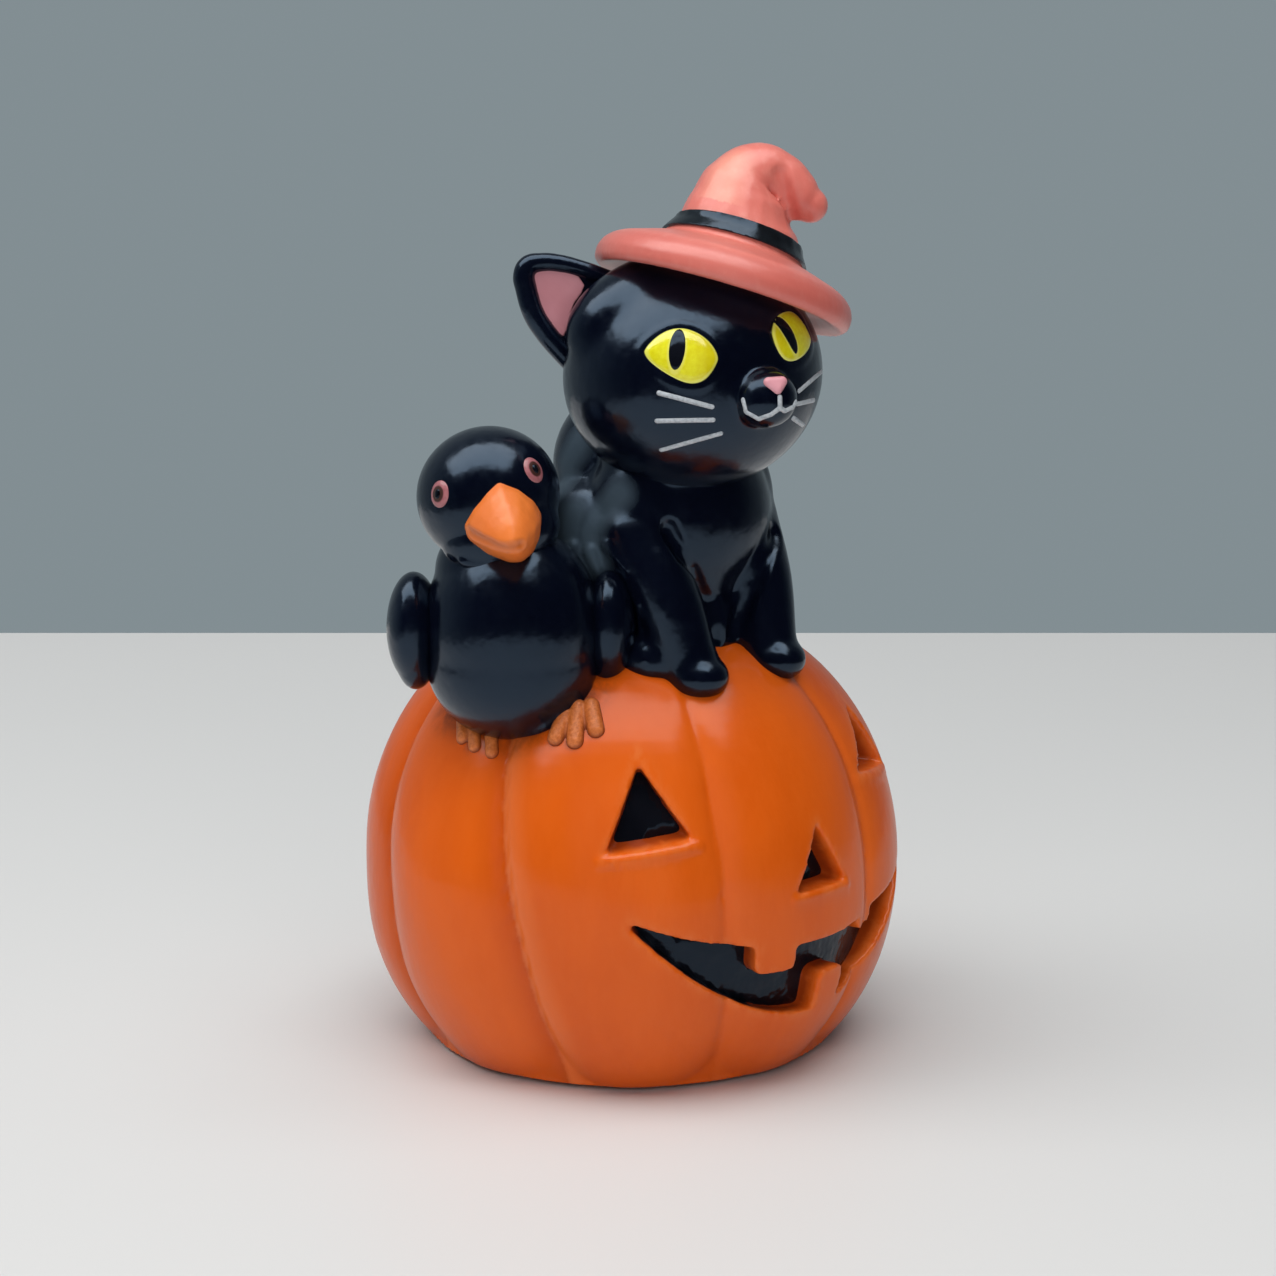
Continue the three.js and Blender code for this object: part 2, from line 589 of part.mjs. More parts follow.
function earPlate(inset, from, to) {
  const settings = { depth: to - from, bevelEnabled: false, curveSegments: 5 };
  return new THREE.ExtrudeGeometry(earOutline(inset), settings).translate(0, 0, from);
}

// Hat: a drooping brim with a rolled edge, and a cone whose tip folds over
function brimShape(grow) {
  const half = BRIM_THICKNESS / 2;
  const profile = [new THREE.Vector2(0, -half - grow)];
  const arcSteps = 4;
  const flat = BRIM_RADIUS - half;
  for (let step = 0; step <= arcSteps; step += 1) {
    const turn = -Math.PI / 2 + (Math.PI * step) / arcSteps;
    profile.push(new THREE.Vector2(flat + (half + grow) * Math.cos(turn), (half + grow) * Math.sin(turn)));
  }
  profile.push(new THREE.Vector2(CROWN_RADIUS, half + grow));
  profile.push(new THREE.Vector2(0, half + grow));
  profile.splice(1, 0, new THREE.Vector2(CROWN_RADIUS, -half - grow));
  for (const point of profile) {
    const outer = Math.max(point.x - CROWN_RADIUS, 0) / (BRIM_RADIUS - CROWN_RADIUS);
    point.y -= BRIM_DROOP * outer ** 1.5;
  }
  return new THREE.LatheGeometry(profile, 26).rotateX(Math.PI / 2);
}

function crownShape(grow) {
  const widths = (...shares) => shares.map((share) => CROWN_RADIUS * share + grow);
  const cone = limb(
    [
      [0, 0, -BRIM_THICKNESS],
      [-CROWN_RADIUS * 0.07, 0, CROWN_HEIGHT * 0.35],
      [-CROWN_RADIUS * 0.08, 0, CROWN_HEIGHT * 0.68],
      [CROWN_RADIUS * 0.14, 0, CROWN_HEIGHT * 0.98],
    ],
    widths(1.12, 0.86, 0.62, 0.42),
    16,
    9,
  );
  const fold = limb(
    [
      [0, 0, CROWN_HEIGHT * 0.72],
      [CROWN_RADIUS * 0.45, 0, CROWN_HEIGHT * 0.84],
      [CROWN_RADIUS * 0.75, 0, CROWN_HEIGHT * 0.76],
      [CROWN_RADIUS * 0.95, 0, CROWN_HEIGHT * 0.62],
    ],
    widths(0.48, 0.38, 0.3, 0.22),
    10,
    7,
  );
  return join(cone, fold).rotateZ(foldTurn);
}

// Crow: a plump body drawn up to a neck, and a round head
function crowBodyShape(grow) {
  const grown = (radii) => radii.map((radius) => radius + grow);
  const neck = [-CROW_HEAD_SHIFT * 0.55, CROW_HEAD_BACK * 0.5, CROW_HEAD_RISE * 0.5];
  return join(
    ball([0, 0, 0], grown([CROW_WIDTH / 2, CROW_DEPTH / 2, CROW_HEIGHT / 2]), 16, 10),
    ball(neck, grown([CROW_HEAD_SIZE * 0.41, CROW_HEAD_SIZE * 0.41, CROW_HEAD_SIZE * 0.36]), 12, 8),
  );
}

// The distance from the pumpkin's axis at which the crow's body leaves the pumpkin's skin
function crowEdge(angle) {
  const radii = new THREE.Vector3(CROW_WIDTH, CROW_DEPTH, CROW_HEIGHT).divideScalar(2);
  const step = TOE_RADIUS / 10;
  let distance = crowOut;
  let share = 0;
  while (share < 1) {
    distance += step;
    share = crow.worldToLocal(new THREE.Vector3(...onPumpkin(distance, angle, 0))).divide(radii).length();
  }
  return distance;
}

const CROW_HEAD_RADII = [CROW_HEAD_SIZE / 2, CROW_HEAD_SIZE / 2, CROW_HEAD_SIZE * 0.48];

function crowHeadShape(grow) {
  return ball([0, 0, 0], CROW_HEAD_RADII.map((radius) => radius + grow), 16, 10);
}

// The pumpkin and what is let into it
const core = (grow) => pumpkinSkin(grow - CARVING_DEPTH, false);
const enamels = [
  ['pumpkin_eye_left_enamel', eyeOutline(LEFT)],
  ['pumpkin_eye_right_enamel', eyeOutline(RIGHT)],
  ['pumpkin_nose_enamel', noseOutline()],
  ['pumpkin_grin_enamel', grinOutline()],
];
const carvings = enamels.map(([, outline]) => cut(carvingPlug(outline), core(0)));
const feltSeat = bar(new THREE.Vector3(0, 0, 0), up, FELT_RADIUS + GLUE_GAP, 2 * FELT_THICKNESS, 32);
const pumpkinPins = [
  ...seatPins.map((place) => seenFrom(figure, pin(place, up, PIN_CLEARANCE), cat)),
  seenFrom(figure, pin(crowSeatPin, up, PIN_CLEARANCE), crow),
];
add(figure, 'pumpkin_body', cut(pumpkinSkin(), ...carvings, feltSeat, ...pumpkinPins), ORANGE);
const enamelLayer = cut(core(GLUE_GAP + ENAMEL_THICKNESS), core(GLUE_GAP));
for (const [name, outline] of enamels) {
  add(figure, name, common(enamelLayer, carvingPlug(drawnIn(outline, GLUE_GAP))), BLACK_ENAMEL);
}
const feltMiddle = new THREE.Vector3(0, 0, FELT_THICKNESS / 2);
add(figure, 'felt_pad', bar(feltMiddle, up, FELT_RADIUS, FELT_THICKNESS, 32), FELT);

// The cat's body, its tail and its pins
const pumpkinUnderCat = seenFrom(cat, pumpkinSkin(GLUE_GAP), figure);
const headOverCat = seenFrom(cat, catHeadShape(GLUE_GAP), head);
add(cat, 'cat_body', cut(
  catBodyShape(0),
  pumpkinUnderCat,
  headOverCat,
  pin(neckPin, toTorso, PIN_CLEARANCE),
  ...seatPins.map((place) => pin(place, up, PIN_CLEARANCE)),
), BLACK);

function tailRest(x, y) {
  const skin = pumpkinTop(Math.hypot(x, y - CAT_FORWARD)) - PUMPKIN_HEIGHT;
  return [x, y, skin + TAIL_RADIUS * 0.7];
}
const tail = limb(
  [
    [0, TORSO_DEPTH / 3, TAIL_RADIUS],
    tailRest(TAIL_REACH * 0.4, TAIL_REACH * 0.98),
    tailRest(TAIL_REACH * 0.9, TAIL_REACH * 0.7),
    tailRest(TAIL_REACH * 1.08, TAIL_REACH * 0.1),
    tailRest(TAIL_REACH * 0.98, -TAIL_REACH * 0.25),
  ],
  [TAIL_RADIUS * 1.1, TAIL_RADIUS, TAIL_RADIUS, TAIL_RADIUS * 0.95, TAIL_RADIUS * 0.8],
  9,
  14,
);
add(cat, 'cat_tail', cut(tail, catBodyShape(GLUE_GAP), pumpkinUnderCat), BLACK);
add(cat, 'seat_pin_left', pin(seatPins[0], up), STEEL);
add(cat, 'seat_pin_right', pin(seatPins[1], up), STEEL);
add(cat, 'neck_pin', pin(neckPin, toTorso), STEEL);

// The cat's head with its eyes, nose, mouth line and whiskers
const SIDES = [[LEFT, 'left'], [RIGHT, 'right']];
const catEye = {
  width: EYE_WIDTH,
  height: EYE_HEIGHT,
  bulge: EYE_BULGE,
  pupilWidth: PUPIL_WIDTH,
  pupilHeight: PUPIL_HEIGHT,
};
const catEyes = SIDES.map(([side, word]) => {
  const slant = side * radians(EYE_SLANT_DEGREES);
  const across = side * EYE_DISTANCE;
  const frame = frontFrame(head, HEAD_RADII.toArray(), across, EYE_RISE, EYE_SEAT_DEPTH, -slant);
  addEye(frame, 'cat', word, catEye, YELLOW);
  return seenFrom(head, lens(catEye, GLUE_GAP), frame);
});
add(head, 'cat_head', cut(
  catHeadShape(0),
  ...catEyes,
  seenFrom(head, pin(neckPin, toTorso, PIN_CLEARANCE), cat),
  pin(hatPin, hatAxis, PIN_CLEARANCE),
), BLACK);

const onMuzzle = (x, z, lift) => onFront(MUZZLE_MIDDLE, MUZZLE_RADII, x, z, lift);
const nose = ball(onMuzzle(0, NOSE_RISE, 0), [NOSE_WIDTH / 2, NOSE_DEPTH / 2, NOSE_HEIGHT / 2], 10, 6);
add(head, 'cat_nose', cut(nose, catHeadShape(GLUE_GAP)), PINK);

const lineLift = GLUE_GAP + WHISKER_RADIUS;
const smileShares = [[-0.5, 1], [-0.33, 0], [-0.14, 0], [0, 0.6], [0.14, 0], [0.33, 0], [0.5, 1]];
const smile = smileShares.map(([across, rise]) => (
  onMuzzle(across * MOUTH_WIDTH, rise * MOUTH_HEIGHT - MOUTH_DROP, lineLift)
));
const lineRadii = [WHISKER_RADIUS, WHISKER_RADIUS];
add(head, 'cat_mouth_line', limb(smile, lineRadii, 5, 18), PALE_GREY);

for (const [side, word] of SIDES) {
  const shift = side === LEFT ? LEFT_WHISKER_SHIFT : 0;
  for (const row of WHISKERS) {
    const points = [0, 0.5, 1].map((along) => onFront(
      [0, 0, 0],
      HEAD_RADII.toArray(),
      side * (THREE.MathUtils.lerp(row.root[0], row.tip[0], along) + shift),
      THREE.MathUtils.lerp(row.root[1], row.tip[1], along),
      lineLift,
    ));
    add(head, `whisker_${word}_${row.word}`, limb(points, lineRadii, 5, 5), PALE_GREY);
  }
}

// The cat's right ear stands clear of the hat, and the hat covers the left one
const ear = new THREE.Group();
const earSlope = radians(EAR_SLOPE_DEGREES);
const earAlong = new THREE.Vector3(Math.cos(earSlope), 0, Math.sin(earSlope));
const earBack = radians(EAR_BACK_DEGREES);
const earUp = new THREE.Vector3(-earAlong.z, 0, earAlong.x).multiplyScalar(Math.cos(earBack));
earUp.y = Math.sin(earBack);
const earFacing = earAlong.clone().cross(earUp);
ear.quaternion.setFromRotationMatrix(new THREE.Matrix4().makeBasis(earAlong, earUp, earFacing));
ear.position.set(...EAR_ROOT_SHARES).multiply(HEAD_RADII);
head.add(ear);
ear.updateMatrixWorld(true);

const liningFront = EAR_THICKNESS / 2;
const liningBack = liningFront - EAR_LINING_THICKNESS;
const hatOverEar = seenFrom(ear, join(brimShape(GLUE_GAP), crownShape(GLUE_GAP)), hat);
const headInEar = seenFrom(ear, catHeadShape(GLUE_GAP), head);
add(ear, 'cat_ear_right', cut(
  earPlate(0, -EAR_THICKNESS / 2, EAR_THICKNESS / 2),
  earPlate(EAR_RIM, liningBack - GLUE_GAP, EAR_THICKNESS),
  headInEar,
  hatOverEar,
), BLACK);
add(ear, 'cat_ear_lining', cut(
  earPlate(EAR_RIM + GLUE_GAP, liningBack, liningFront),
  headInEar,
  hatOverEar,
), PINK);

// The hat, its band and its pin
const headInHat = seenFrom(hat, catHeadShape(GLUE_GAP), head);
const hatShape = join(brimShape(0), crownShape(0));
add(hat, 'hat', cut(hatShape, headInHat, seenFrom(hat, pin(hatPin, hatAxis, PIN_CLEARANCE), head)), CORAL);
const bandFoot = BRIM_THICKNESS / 2 + GLUE_GAP;
const bandMiddle = new THREE.Vector3(0, 0, bandFoot + BAND_HEIGHT / 2);
const bandSlice = bar(bandMiddle, up, BRIM_RADIUS, BAND_HEIGHT, 24);
const bandRing = cut(crownShape(GLUE_GAP + BAND_THICKNESS), crownShape(GLUE_GAP));
add(hat, 'hat_band', common(bandRing, bandSlice), BLACK);
add(head, 'hat_pin', pin(hatPin, hatAxis), STEEL);

// The crow's body, wings, tail, feet and pins
const pumpkinUnderCrow = seenFrom(crow, pumpkinSkin(GLUE_GAP), figure);
const catBesideCrow = seenFrom(crow, catBodyShape(GLUE_GAP), cat);
const crowBodyRoom = crowBodyShape(GLUE_GAP);
add(crow, 'crow_body', cut(
  crowBodyShape(0),
  pumpkinUnderCrow,
  catBesideCrow,
  seenFrom(crow, crowHeadShape(GLUE_GAP), crowHead),
  pin(crowNeckPin, toCrowBody, PIN_CLEARANCE),
  pin(crowSeatPin, up, PIN_CLEARANCE),
), BLACK);
for (const [side, word] of SIDES) {
  const wingOut = CROW_WIDTH / 2 + WING_THICKNESS * 0.22;
  const wingMiddle = [side * wingOut, -WING_FORWARD, WING_RISE];
  const wing = ball(wingMiddle, [WING_THICKNESS / 2, WING_DEPTH / 2, WING_HEIGHT / 2], 12, 8);
  add(crow, `crow_wing_${word}`, cut(wing, crowBodyRoom, catBesideCrow, pumpkinUnderCrow), BLACK);

  const footPlace = crowPlace + radians(FEET_TURN_DEGREES) + side * Math.asin(FOOT_SPREAD / crowOut);
  const footOut = crowEdge(footPlace) + FOOT_STEP + side * FEET_SKEW;
  const reach = (share, fan) => onPumpkin(
    footOut + (share - 0.3) * TOE_LENGTH * Math.cos(fan),
    footPlace + ((share + 0.1) * TOE_LENGTH * Math.sin(fan)) / footOut,
    TOE_RADIUS * 0.5,
  );
  const toeRadii = [TOE_RADIUS * 1.2, TOE_RADIUS, TOE_RADIUS * 0.8];
  const toes = [-TOE_FAN, 0, TOE_FAN].map((fan) => (
    limb([reach(0, fan), reach(0.5, fan), reach(1, fan)], toeRadii, 6, 5)
  ));
  const knuckle = ball(reach(0.7, 0), [TOE_RADIUS * 1.4, TOE_RADIUS * 1.4, TOE_RADIUS * 1.1], 8, 6);
  const foot = seenFrom(crow, join(knuckle, ...toes), figure);
  add(crow, `crow_foot_${word}`, cut(foot, pumpkinUnderCrow, crowBodyRoom), CLAW_BROWN);
}
const crowTail = limb(
  [
    [0, CROW_DEPTH * 0.3, -1.5],
    [-CROW_TAIL_LENGTH * 0.25, CROW_DEPTH * 0.5, -1],
    [-CROW_TAIL_LENGTH * 0.5, CROW_DEPTH * 0.3 + CROW_TAIL_LENGTH, 0.5],
  ],
  [0.5, 0.44, 0.3].map((share) => share * CROW_TAIL_WIDTH),
  10,
  6,
);
add(crow, 'crow_tail', cut(crowTail, crowBodyRoom, catBesideCrow, pumpkinUnderCrow), BLACK);
add(crow, 'crow_neck_pin', pin(crowNeckPin, toCrowBody), STEEL);
add(crow, 'crow_seat_pin', pin(crowSeatPin, up), STEEL);

// The crow's head, eyes and beak
const crowEye = {
  width: CROW_EYE_WIDTH,
  height: CROW_EYE_HEIGHT,
  bulge: CROW_EYE_BULGE,
  pupilWidth: CROW_EYE_WIDTH * 0.48,
  pupilHeight: CROW_EYE_HEIGHT * 0.5,
};
const crowEyes = SIDES.map(([side, word]) => {
  const across = side * CROW_EYE_DISTANCE;
  const frame = frontFrame(crowHead, CROW_HEAD_RADII, across, CROW_EYE_RISE, EYE_SEAT_DEPTH, 0);
  addEye(frame, 'crow', word, crowEye, PINK);
  return seenFrom(crowHead, lens(crowEye, GLUE_GAP), frame);
});
add(crowHead, 'crow_head', cut(
  crowHeadShape(0),
  ...crowEyes,
  seenFrom(crowHead, pin(crowNeckPin, toCrowBody, PIN_CLEARANCE), crow),
), BLACK);
const beakRoot = CROW_HEAD_SIZE / 2 - BEAK_SEAT_DEPTH;
const beak = limb(
  [
    [0, -beakRoot + BEAK_SEAT_DEPTH / 2, BEAK_DROP * 0.05],
    [0, -beakRoot - BEAK_LENGTH * 0.36, -BEAK_DROP * 0.14],
    [0, -beakRoot - BEAK_LENGTH * 0.75, -BEAK_DROP * 0.61],
    [0, -beakRoot - BEAK_LENGTH, -BEAK_DROP],
  ],
  [BEAK_RADIUS, BEAK_RADIUS * 0.86, BEAK_RADIUS * 0.5, BEAK_RADIUS * 0.22],
  10,
  7,
);
add(crowHead, 'crow_beak', cut(beak, crowHeadShape(GLUE_GAP)), BEAK_ORANGE);

export default figure;
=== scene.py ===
import math

import bmesh
import bpy
from mathutils import Matrix, Vector, noise
from mathutils.bvhtree import BVHTree
from mathutils.geometry import intersect_point_line


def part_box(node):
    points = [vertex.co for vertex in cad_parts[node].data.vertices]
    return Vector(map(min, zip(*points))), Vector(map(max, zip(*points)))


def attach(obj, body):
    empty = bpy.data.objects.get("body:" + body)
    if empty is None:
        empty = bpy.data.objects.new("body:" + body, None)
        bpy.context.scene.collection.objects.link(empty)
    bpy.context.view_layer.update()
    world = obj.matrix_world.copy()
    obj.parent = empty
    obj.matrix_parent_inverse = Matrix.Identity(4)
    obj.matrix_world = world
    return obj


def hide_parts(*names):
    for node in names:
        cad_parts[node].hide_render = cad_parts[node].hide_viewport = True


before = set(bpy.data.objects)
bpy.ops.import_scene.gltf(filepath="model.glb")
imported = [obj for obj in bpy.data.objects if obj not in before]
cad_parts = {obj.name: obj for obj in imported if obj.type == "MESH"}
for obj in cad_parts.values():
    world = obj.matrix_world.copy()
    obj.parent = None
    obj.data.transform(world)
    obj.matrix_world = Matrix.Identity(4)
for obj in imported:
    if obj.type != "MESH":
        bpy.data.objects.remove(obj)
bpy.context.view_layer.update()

# Camera
# A long lens close by, a little above the figure and round to its own right, as in the photograph.
# The pixels below are those of a square picture 1276 pixels wide.
CAMERA_AZIMUTH = math.radians(-44)
CAMERA_ELEVATION = math.radians(13)
CAMERA_DISTANCE = 0.4
AIM_HEIGHT = 0.04395
AIM_RIGHT = 0.00075
LENS = 103.8
SENSOR_WIDTH = 36
PICTURE_WIDTH = 1276

camera_back = Vector((
    math.sin(CAMERA_AZIMUTH) * math.cos(CAMERA_ELEVATION),
    -math.cos(CAMERA_AZIMUTH) * math.cos(CAMERA_ELEVATION),
    math.sin(CAMERA_ELEVATION),
))
camera_right = Vector((math.cos(CAMERA_AZIMUTH), math.sin(CAMERA_AZIMUTH), 0))
camera_up = camera_back.cross(camera_right)
camera_aim = camera_right * AIM_RIGHT + Vector((0, 0, AIM_HEIGHT))
camera = bpy.data.objects.new("camera", bpy.data.cameras.new("camera"))
camera.data.lens = LENS
camera.data.sensor_width = SENSOR_WIDTH
camera.data.clip_start = 0.01
camera.location = camera_aim + camera_back * CAMERA_DISTANCE
camera.rotation_euler = (-camera_back).to_track_quat("-Z", "Y").to_euler()
bpy.context.scene.collection.objects.link(camera)
bpy.context.scene.camera = camera

# Pumpkin
# The largest casting: a squat ribbed pumpkin in resin, with a face carved 3.4 mm deep and a shallow
# seat under it for the felt. It is sprayed orange and varnished; its colour also carries painted shade in the
# grooves, on the carved walls and round the crow, and a painted highlight on the groove banks.
MM = 0.001
pumpkin_low, pumpkin_high = (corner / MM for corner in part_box("pumpkin_body"))
PUMPKIN_RADIUS = pumpkin_high.x
PUMPKIN_TOP = pumpkin_high.z
PUMPKIN_FOOT = pumpkin_low.z
WIDEST_HEIGHT = 19.5
SKIRT_REACH = 27.2
UPPER_POWERS = (2.02, 2.43)
LOWER_POWERS = (2.2, 2.35)
FOOT_RADIUS = 21.4
FELT_SEAT_RADIUS = 18.4
FELT_SEAT_TOP = 1.1
CARVING_DEPTH = 3.4
PROFILE_ROWS = 56
PROFILE_STEPS = 256
PUMPKIN_GRAIN = 0.28
PUMPKIN_SHARE_KEPT = 0.48
# Each groove: its angle round from the face at the widest height, its lean in degrees per mm, and its depth
GROOVES = (
    (-151, -0.2, 1.8), (-113, -0.3, 1.8), (-70, -0.46, 2), (-23.5, -0.13, 1.15),
    (19.5, 0.1, 1.3), (64, 0.25, 1.8), (109, 0.3, 1.8), (155, 0.1, 1.8),
)
FOOT_GROOVE_DEPTH = 1.8
FOOT_GROOVE_REACH = 12
RIB_CREST = 0.42
RIB_ROUNDNESS = 0.9
CREASE_DEPTH = 0.35
CREASE_WIDTH = 0.9
HAND_WAVE = 0.35
HAND_WAVE_LENGTH = 13
HAND_WAVE_LEAST = -0.3
SEAT_WALL = 0.5


def pumpkin_radius(height):
    """Radius of the smooth pumpkin at a height."""
    if height > WIDEST_HEIGHT:
        share = min((height - WIDEST_HEIGHT) / (PUMPKIN_TOP - WIDEST_HEIGHT), 1)
        power, root = UPPER_POWERS
    else:
        share = (WIDEST_HEIGHT - height) / SKIRT_REACH
        power, root = LOWER_POWERS
    return PUMPKIN_RADIUS * (1 - share ** power) ** (1 / root)


def groove_angles(height):
    """Angles of the grooves at a height, from the first one round to itself again."""
    angles = [math.radians(angle + lean * (height - WIDEST_HEIGHT)) for angle, lean, depth in GROOVES]
    return angles + [angles[0] + 2 * math.pi]


def rib_place(angle, height):
    """How far a point lies from its rib's crest, from 0 to 1, its distances in mm past one groove and from
    the next, and the depth of the nearer groove."""
    angles = groove_angles(height)
    while angle < angles[0]:
        angle += 2 * math.pi
    while angle >= angles[-1]:
        angle -= 2 * math.pi
    step = max(index for index, before in enumerate(angles[:-1]) if before <= angle)
    past, left = angle - angles[step], angles[step + 1] - angle
    share = past / (past + left)
    across = max(1 - share / RIB_CREST, (share - RIB_CREST) / (1 - RIB_CREST))
    depth = GROOVES[(step + (share > RIB_CREST)) % len(GROOVES)][2]
    return across, past * PUMPKIN_RADIUS, left * PUMPKIN_RADIUS, depth


def rib_sink(angle, height):
    """How deep the skin lies under the smooth pumpkin: round ribs that meet in narrow creases."""
    across, past, left, depth = rib_place(angle, height)
    bulge = (1 - math.sqrt(1 - RIB_ROUNDNESS * across ** 2)) / (1 - math.sqrt(1 - RIB_ROUNDNESS))
    crease = max(1 - min(past, left) / CREASE_WIDTH, 0) ** 2
    depth += FOOT_GROOVE_DEPTH * max(1 - height / FOOT_GROOVE_REACH, 0) ** 2
    return depth * bulge + CREASE_DEPTH * crease


def turned(profile, steps):
    """A shape turned from its profile, given as radii and heights, about the upright axis."""
    shape = bmesh.new()
    corners = [shape.verts.new((radius, 0, height)) for radius, height in profile]
    edges = [shape.edges.new(pair) for pair in zip(corners, corners[1:])]
    bmesh.ops.spin(
        shape, geom=corners + edges, axis=(0, 0, 1), cent=(0, 0, 0),
        angle=2 * math.pi, steps=steps, use_merge=True,
    )
    bmesh.ops.remove_doubles(shape, verts=shape.verts, dist=0.0005)
    bmesh.ops.recalc_face_normals(shape, faces=shape.faces)
    return shape


def pumpkin_profile(sunk, rows):
    """Profile of the smooth pumpkin's side, from its foot to its top, sunk by some millimetres."""
    profile = []
    for row in range(rows + 1):
        turn = math.pi * (row / rows) - math.pi / 2
        if turn < 0:
            height = WIDEST_HEIGHT + (WIDEST_HEIGHT - PUMPKIN_FOOT) * math.sin(turn)
        else:
            height = WIDEST_HEIGHT + (PUMPKIN_TOP - WIDEST_HEIGHT) * math.sin(turn)
        lower = height - sunk * max(math.sin(turn), 0)
        profile.append((max(pumpkin_radius(height) - sunk * math.cos(turn), 0), lower))
    profile[-1] = (0, PUMPKIN_TOP - sunk)
    return profile


def object_of(shape, name):
    """An object that holds a shape, shaded smooth."""
    for face in shape.faces:
        face.smooth = True
    mesh = bpy.data.meshes.new(name)
    shape.to_mesh(mesh)
    shape.free()
    made = bpy.data.objects.new(name, mesh)
    bpy.context.scene.collection.objects.link(made)
    return made


def shape_of(made):
    """The shape of an object with its modifiers applied; the object is used up."""
    graph = bpy.context.evaluated_depsgraph_get()
    mesh = bpy.data.meshes.new_from_object(made.evaluated_get(graph))
    shape = bmesh.new()
    shape.from_mesh(mesh)
    bpy.data.meshes.remove(mesh)
    bpy.data.objects.remove(made)
    return shape


def kneaded(shape, grain, rounds, share_kept=1):
    """Runs overlapping lumps together into one skin, then smooths it as a wet brush smooths clay."""
    made = object_of(shape, "clay")
    skin = made.modifiers.new("skin", "REMESH")
    skin.mode = "VOXEL"
    skin.voxel_size = grain
    brush = made.modifiers.new("brush", "SMOOTH")
    brush.factor = 0.5
    brush.iterations = rounds
    if share_kept < 1:
        thinner = made.modifiers.new("thinner", "DECIMATE")
        thinner.ratio = share_kept
    return shape_of(made)


def cut(shape, tool, operation="DIFFERENCE"):
    """One shape cut by another; both are used up."""
    made = object_of(shape, "blank")
    knife = object_of(tool, "knife")
    boolean = made.modifiers.new("cut", "BOOLEAN")
    boolean.operation = operation
    boolean.solver = "EXACT"
    boolean.object = knife
    result = shape_of(made)
    bpy.data.objects.remove(knife)
    return result


def merged(*shapes):
    """Several shapes in one; they are used up."""
    whole = bmesh.new()
    for shape in shapes:
        mesh = bpy.data.meshes.new("part")
        shape.to_mesh(mesh)
        whole.from_mesh(mesh)
        bpy.data.meshes.remove(mesh)
        shape.free()
    return whole


def from_path(point, path):
    """Distance of a point from a path of short straight stretches."""
    nearest = math.inf
    for start, end in zip(path, path[1:]):
        share = intersect_point_line(point, start, end)[1]
        foot = start.lerp(end, min(max(share, 0), 1))
        nearest = min(nearest, (point - foot).length)
    return nearest


def fading(point, path, reach):
    """A mask that is 1 on a path and fades out at a reach from it."""
    return max(1 - from_path(point, path) / reach, 0)


def tooled(shape, path, width, height):
    """Raises a soft ridge along a path on a shape's skin, or presses a groove if its height is below 0."""
    shape.normal_update()
    path = [Vector(point) for point in path]
    low = [min(point[axis] for point in path) - width for axis in range(3)]
    high = [max(point[axis] for point in path) + width for axis in range(3)]
    for corner in shape.verts:
        if any(not low[axis] < corner.co[axis] < high[axis] for axis in range(3)):
            continue
        near = from_path(corner.co, path)
        if near < width:
            corner.co += corner.normal * (height * (1 - (near / width) ** 2) ** 2)


def smoothed(shape):
    """Goes once over a shape's skin with a soft brush."""
    axes = {f"use_axis_{axis}": True for axis in "xyz"}
    bmesh.ops.smooth_vert(shape, verts=shape.verts, factor=0.4, **axes)


def masked(shape, *names):
    """New masks on a shape, for its paint to follow."""
    return [shape.verts.layers.float.new(name) for name in names]


def settled(shape, name, paint, node=None):
    """Sets a finished piece, modelled in mm, in the frame in place of its solid, which may share its name."""
    bmesh.ops.scale(shape, vec=(MM, MM, MM), verts=shape.verts)
    piece = object_of(shape, name)
    piece.data.materials.append(paint)
    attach(piece, "root")
    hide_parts(node or name)


# Outlines of the carved face, in mm: distance round the skin from the middle of the face, and height
RIGHT_EYE_HOLE = ((-25.1, 27.4), (-15.6, 28.6), (-21.7, 37.4))
LEFT_EYE_HOLE = ((12.2, 31.2), (21.9, 30.2), (18.8, 38.6))
NOSE_HOLE = ((-3.6, 22), (3.6, 22), (0, 28.7))
HOLE_DRAFT = 0.05
HOLE_CUTS = 6
PLUG_START = 0.6
PLUG_LENGTH = 0.5
RIGHT_CORNER = (-22.5, 20.2)
LEFT_CORNER = (22.6, 21)
CORNER_OPENING = 0.3
UPPER_LIP = 16.3
LOWER_LIP = 8.4
LIP_STEPS = 14
RIGHT_TOOTH = (-3.7, -8.8, -2.9)
LEFT_TOOTH = (10.8, 7.2, -1.7)
LOWER_TOOTH = (0.1, 4.5, 4.2)
TOOTH_ROUNDING = 1
TOOTH_CORNER = 0.3


def lip(along, middle):
    """Height of a lip at a distance from the middle of the face."""
    end, height = LEFT_CORNER if along > 0 else RIGHT_CORNER
    height += math.copysign(CORNER_OPENING, middle - (UPPER_LIP + LOWER_LIP) / 2)
    return middle + (height - middle) * (along / end) ** 2


def lip_points(start, end, middle):
    """Points along a lip, without its two ends."""
    steps = [start + (end - start) * step / LIP_STEPS for step in range(1, LIP_STEPS)]
    return [(along, lip(along, middle)) for along in steps]


def tooth_points(start, end, length, middle):
    """Corners of a square tooth that stands on a lip, with its free corners rounded off."""
    edge = lip((start + end) / 2, middle) + length
    inwards = math.copysign(TOOTH_ROUNDING, end - start)
    back = -math.copysign(TOOTH_ROUNDING, length)
    return [
        (start, lip(start, middle)), (start, edge + back),
        (start + inwards * TOOTH_CORNER, edge + back * TOOTH_CORNER), (start + inwards, edge),
        (end - inwards, edge), (end - inwards * TOOTH_CORNER, edge + back * TOOTH_CORNER),
        (end, edge + back), (end, lip(end, middle)),
    ]


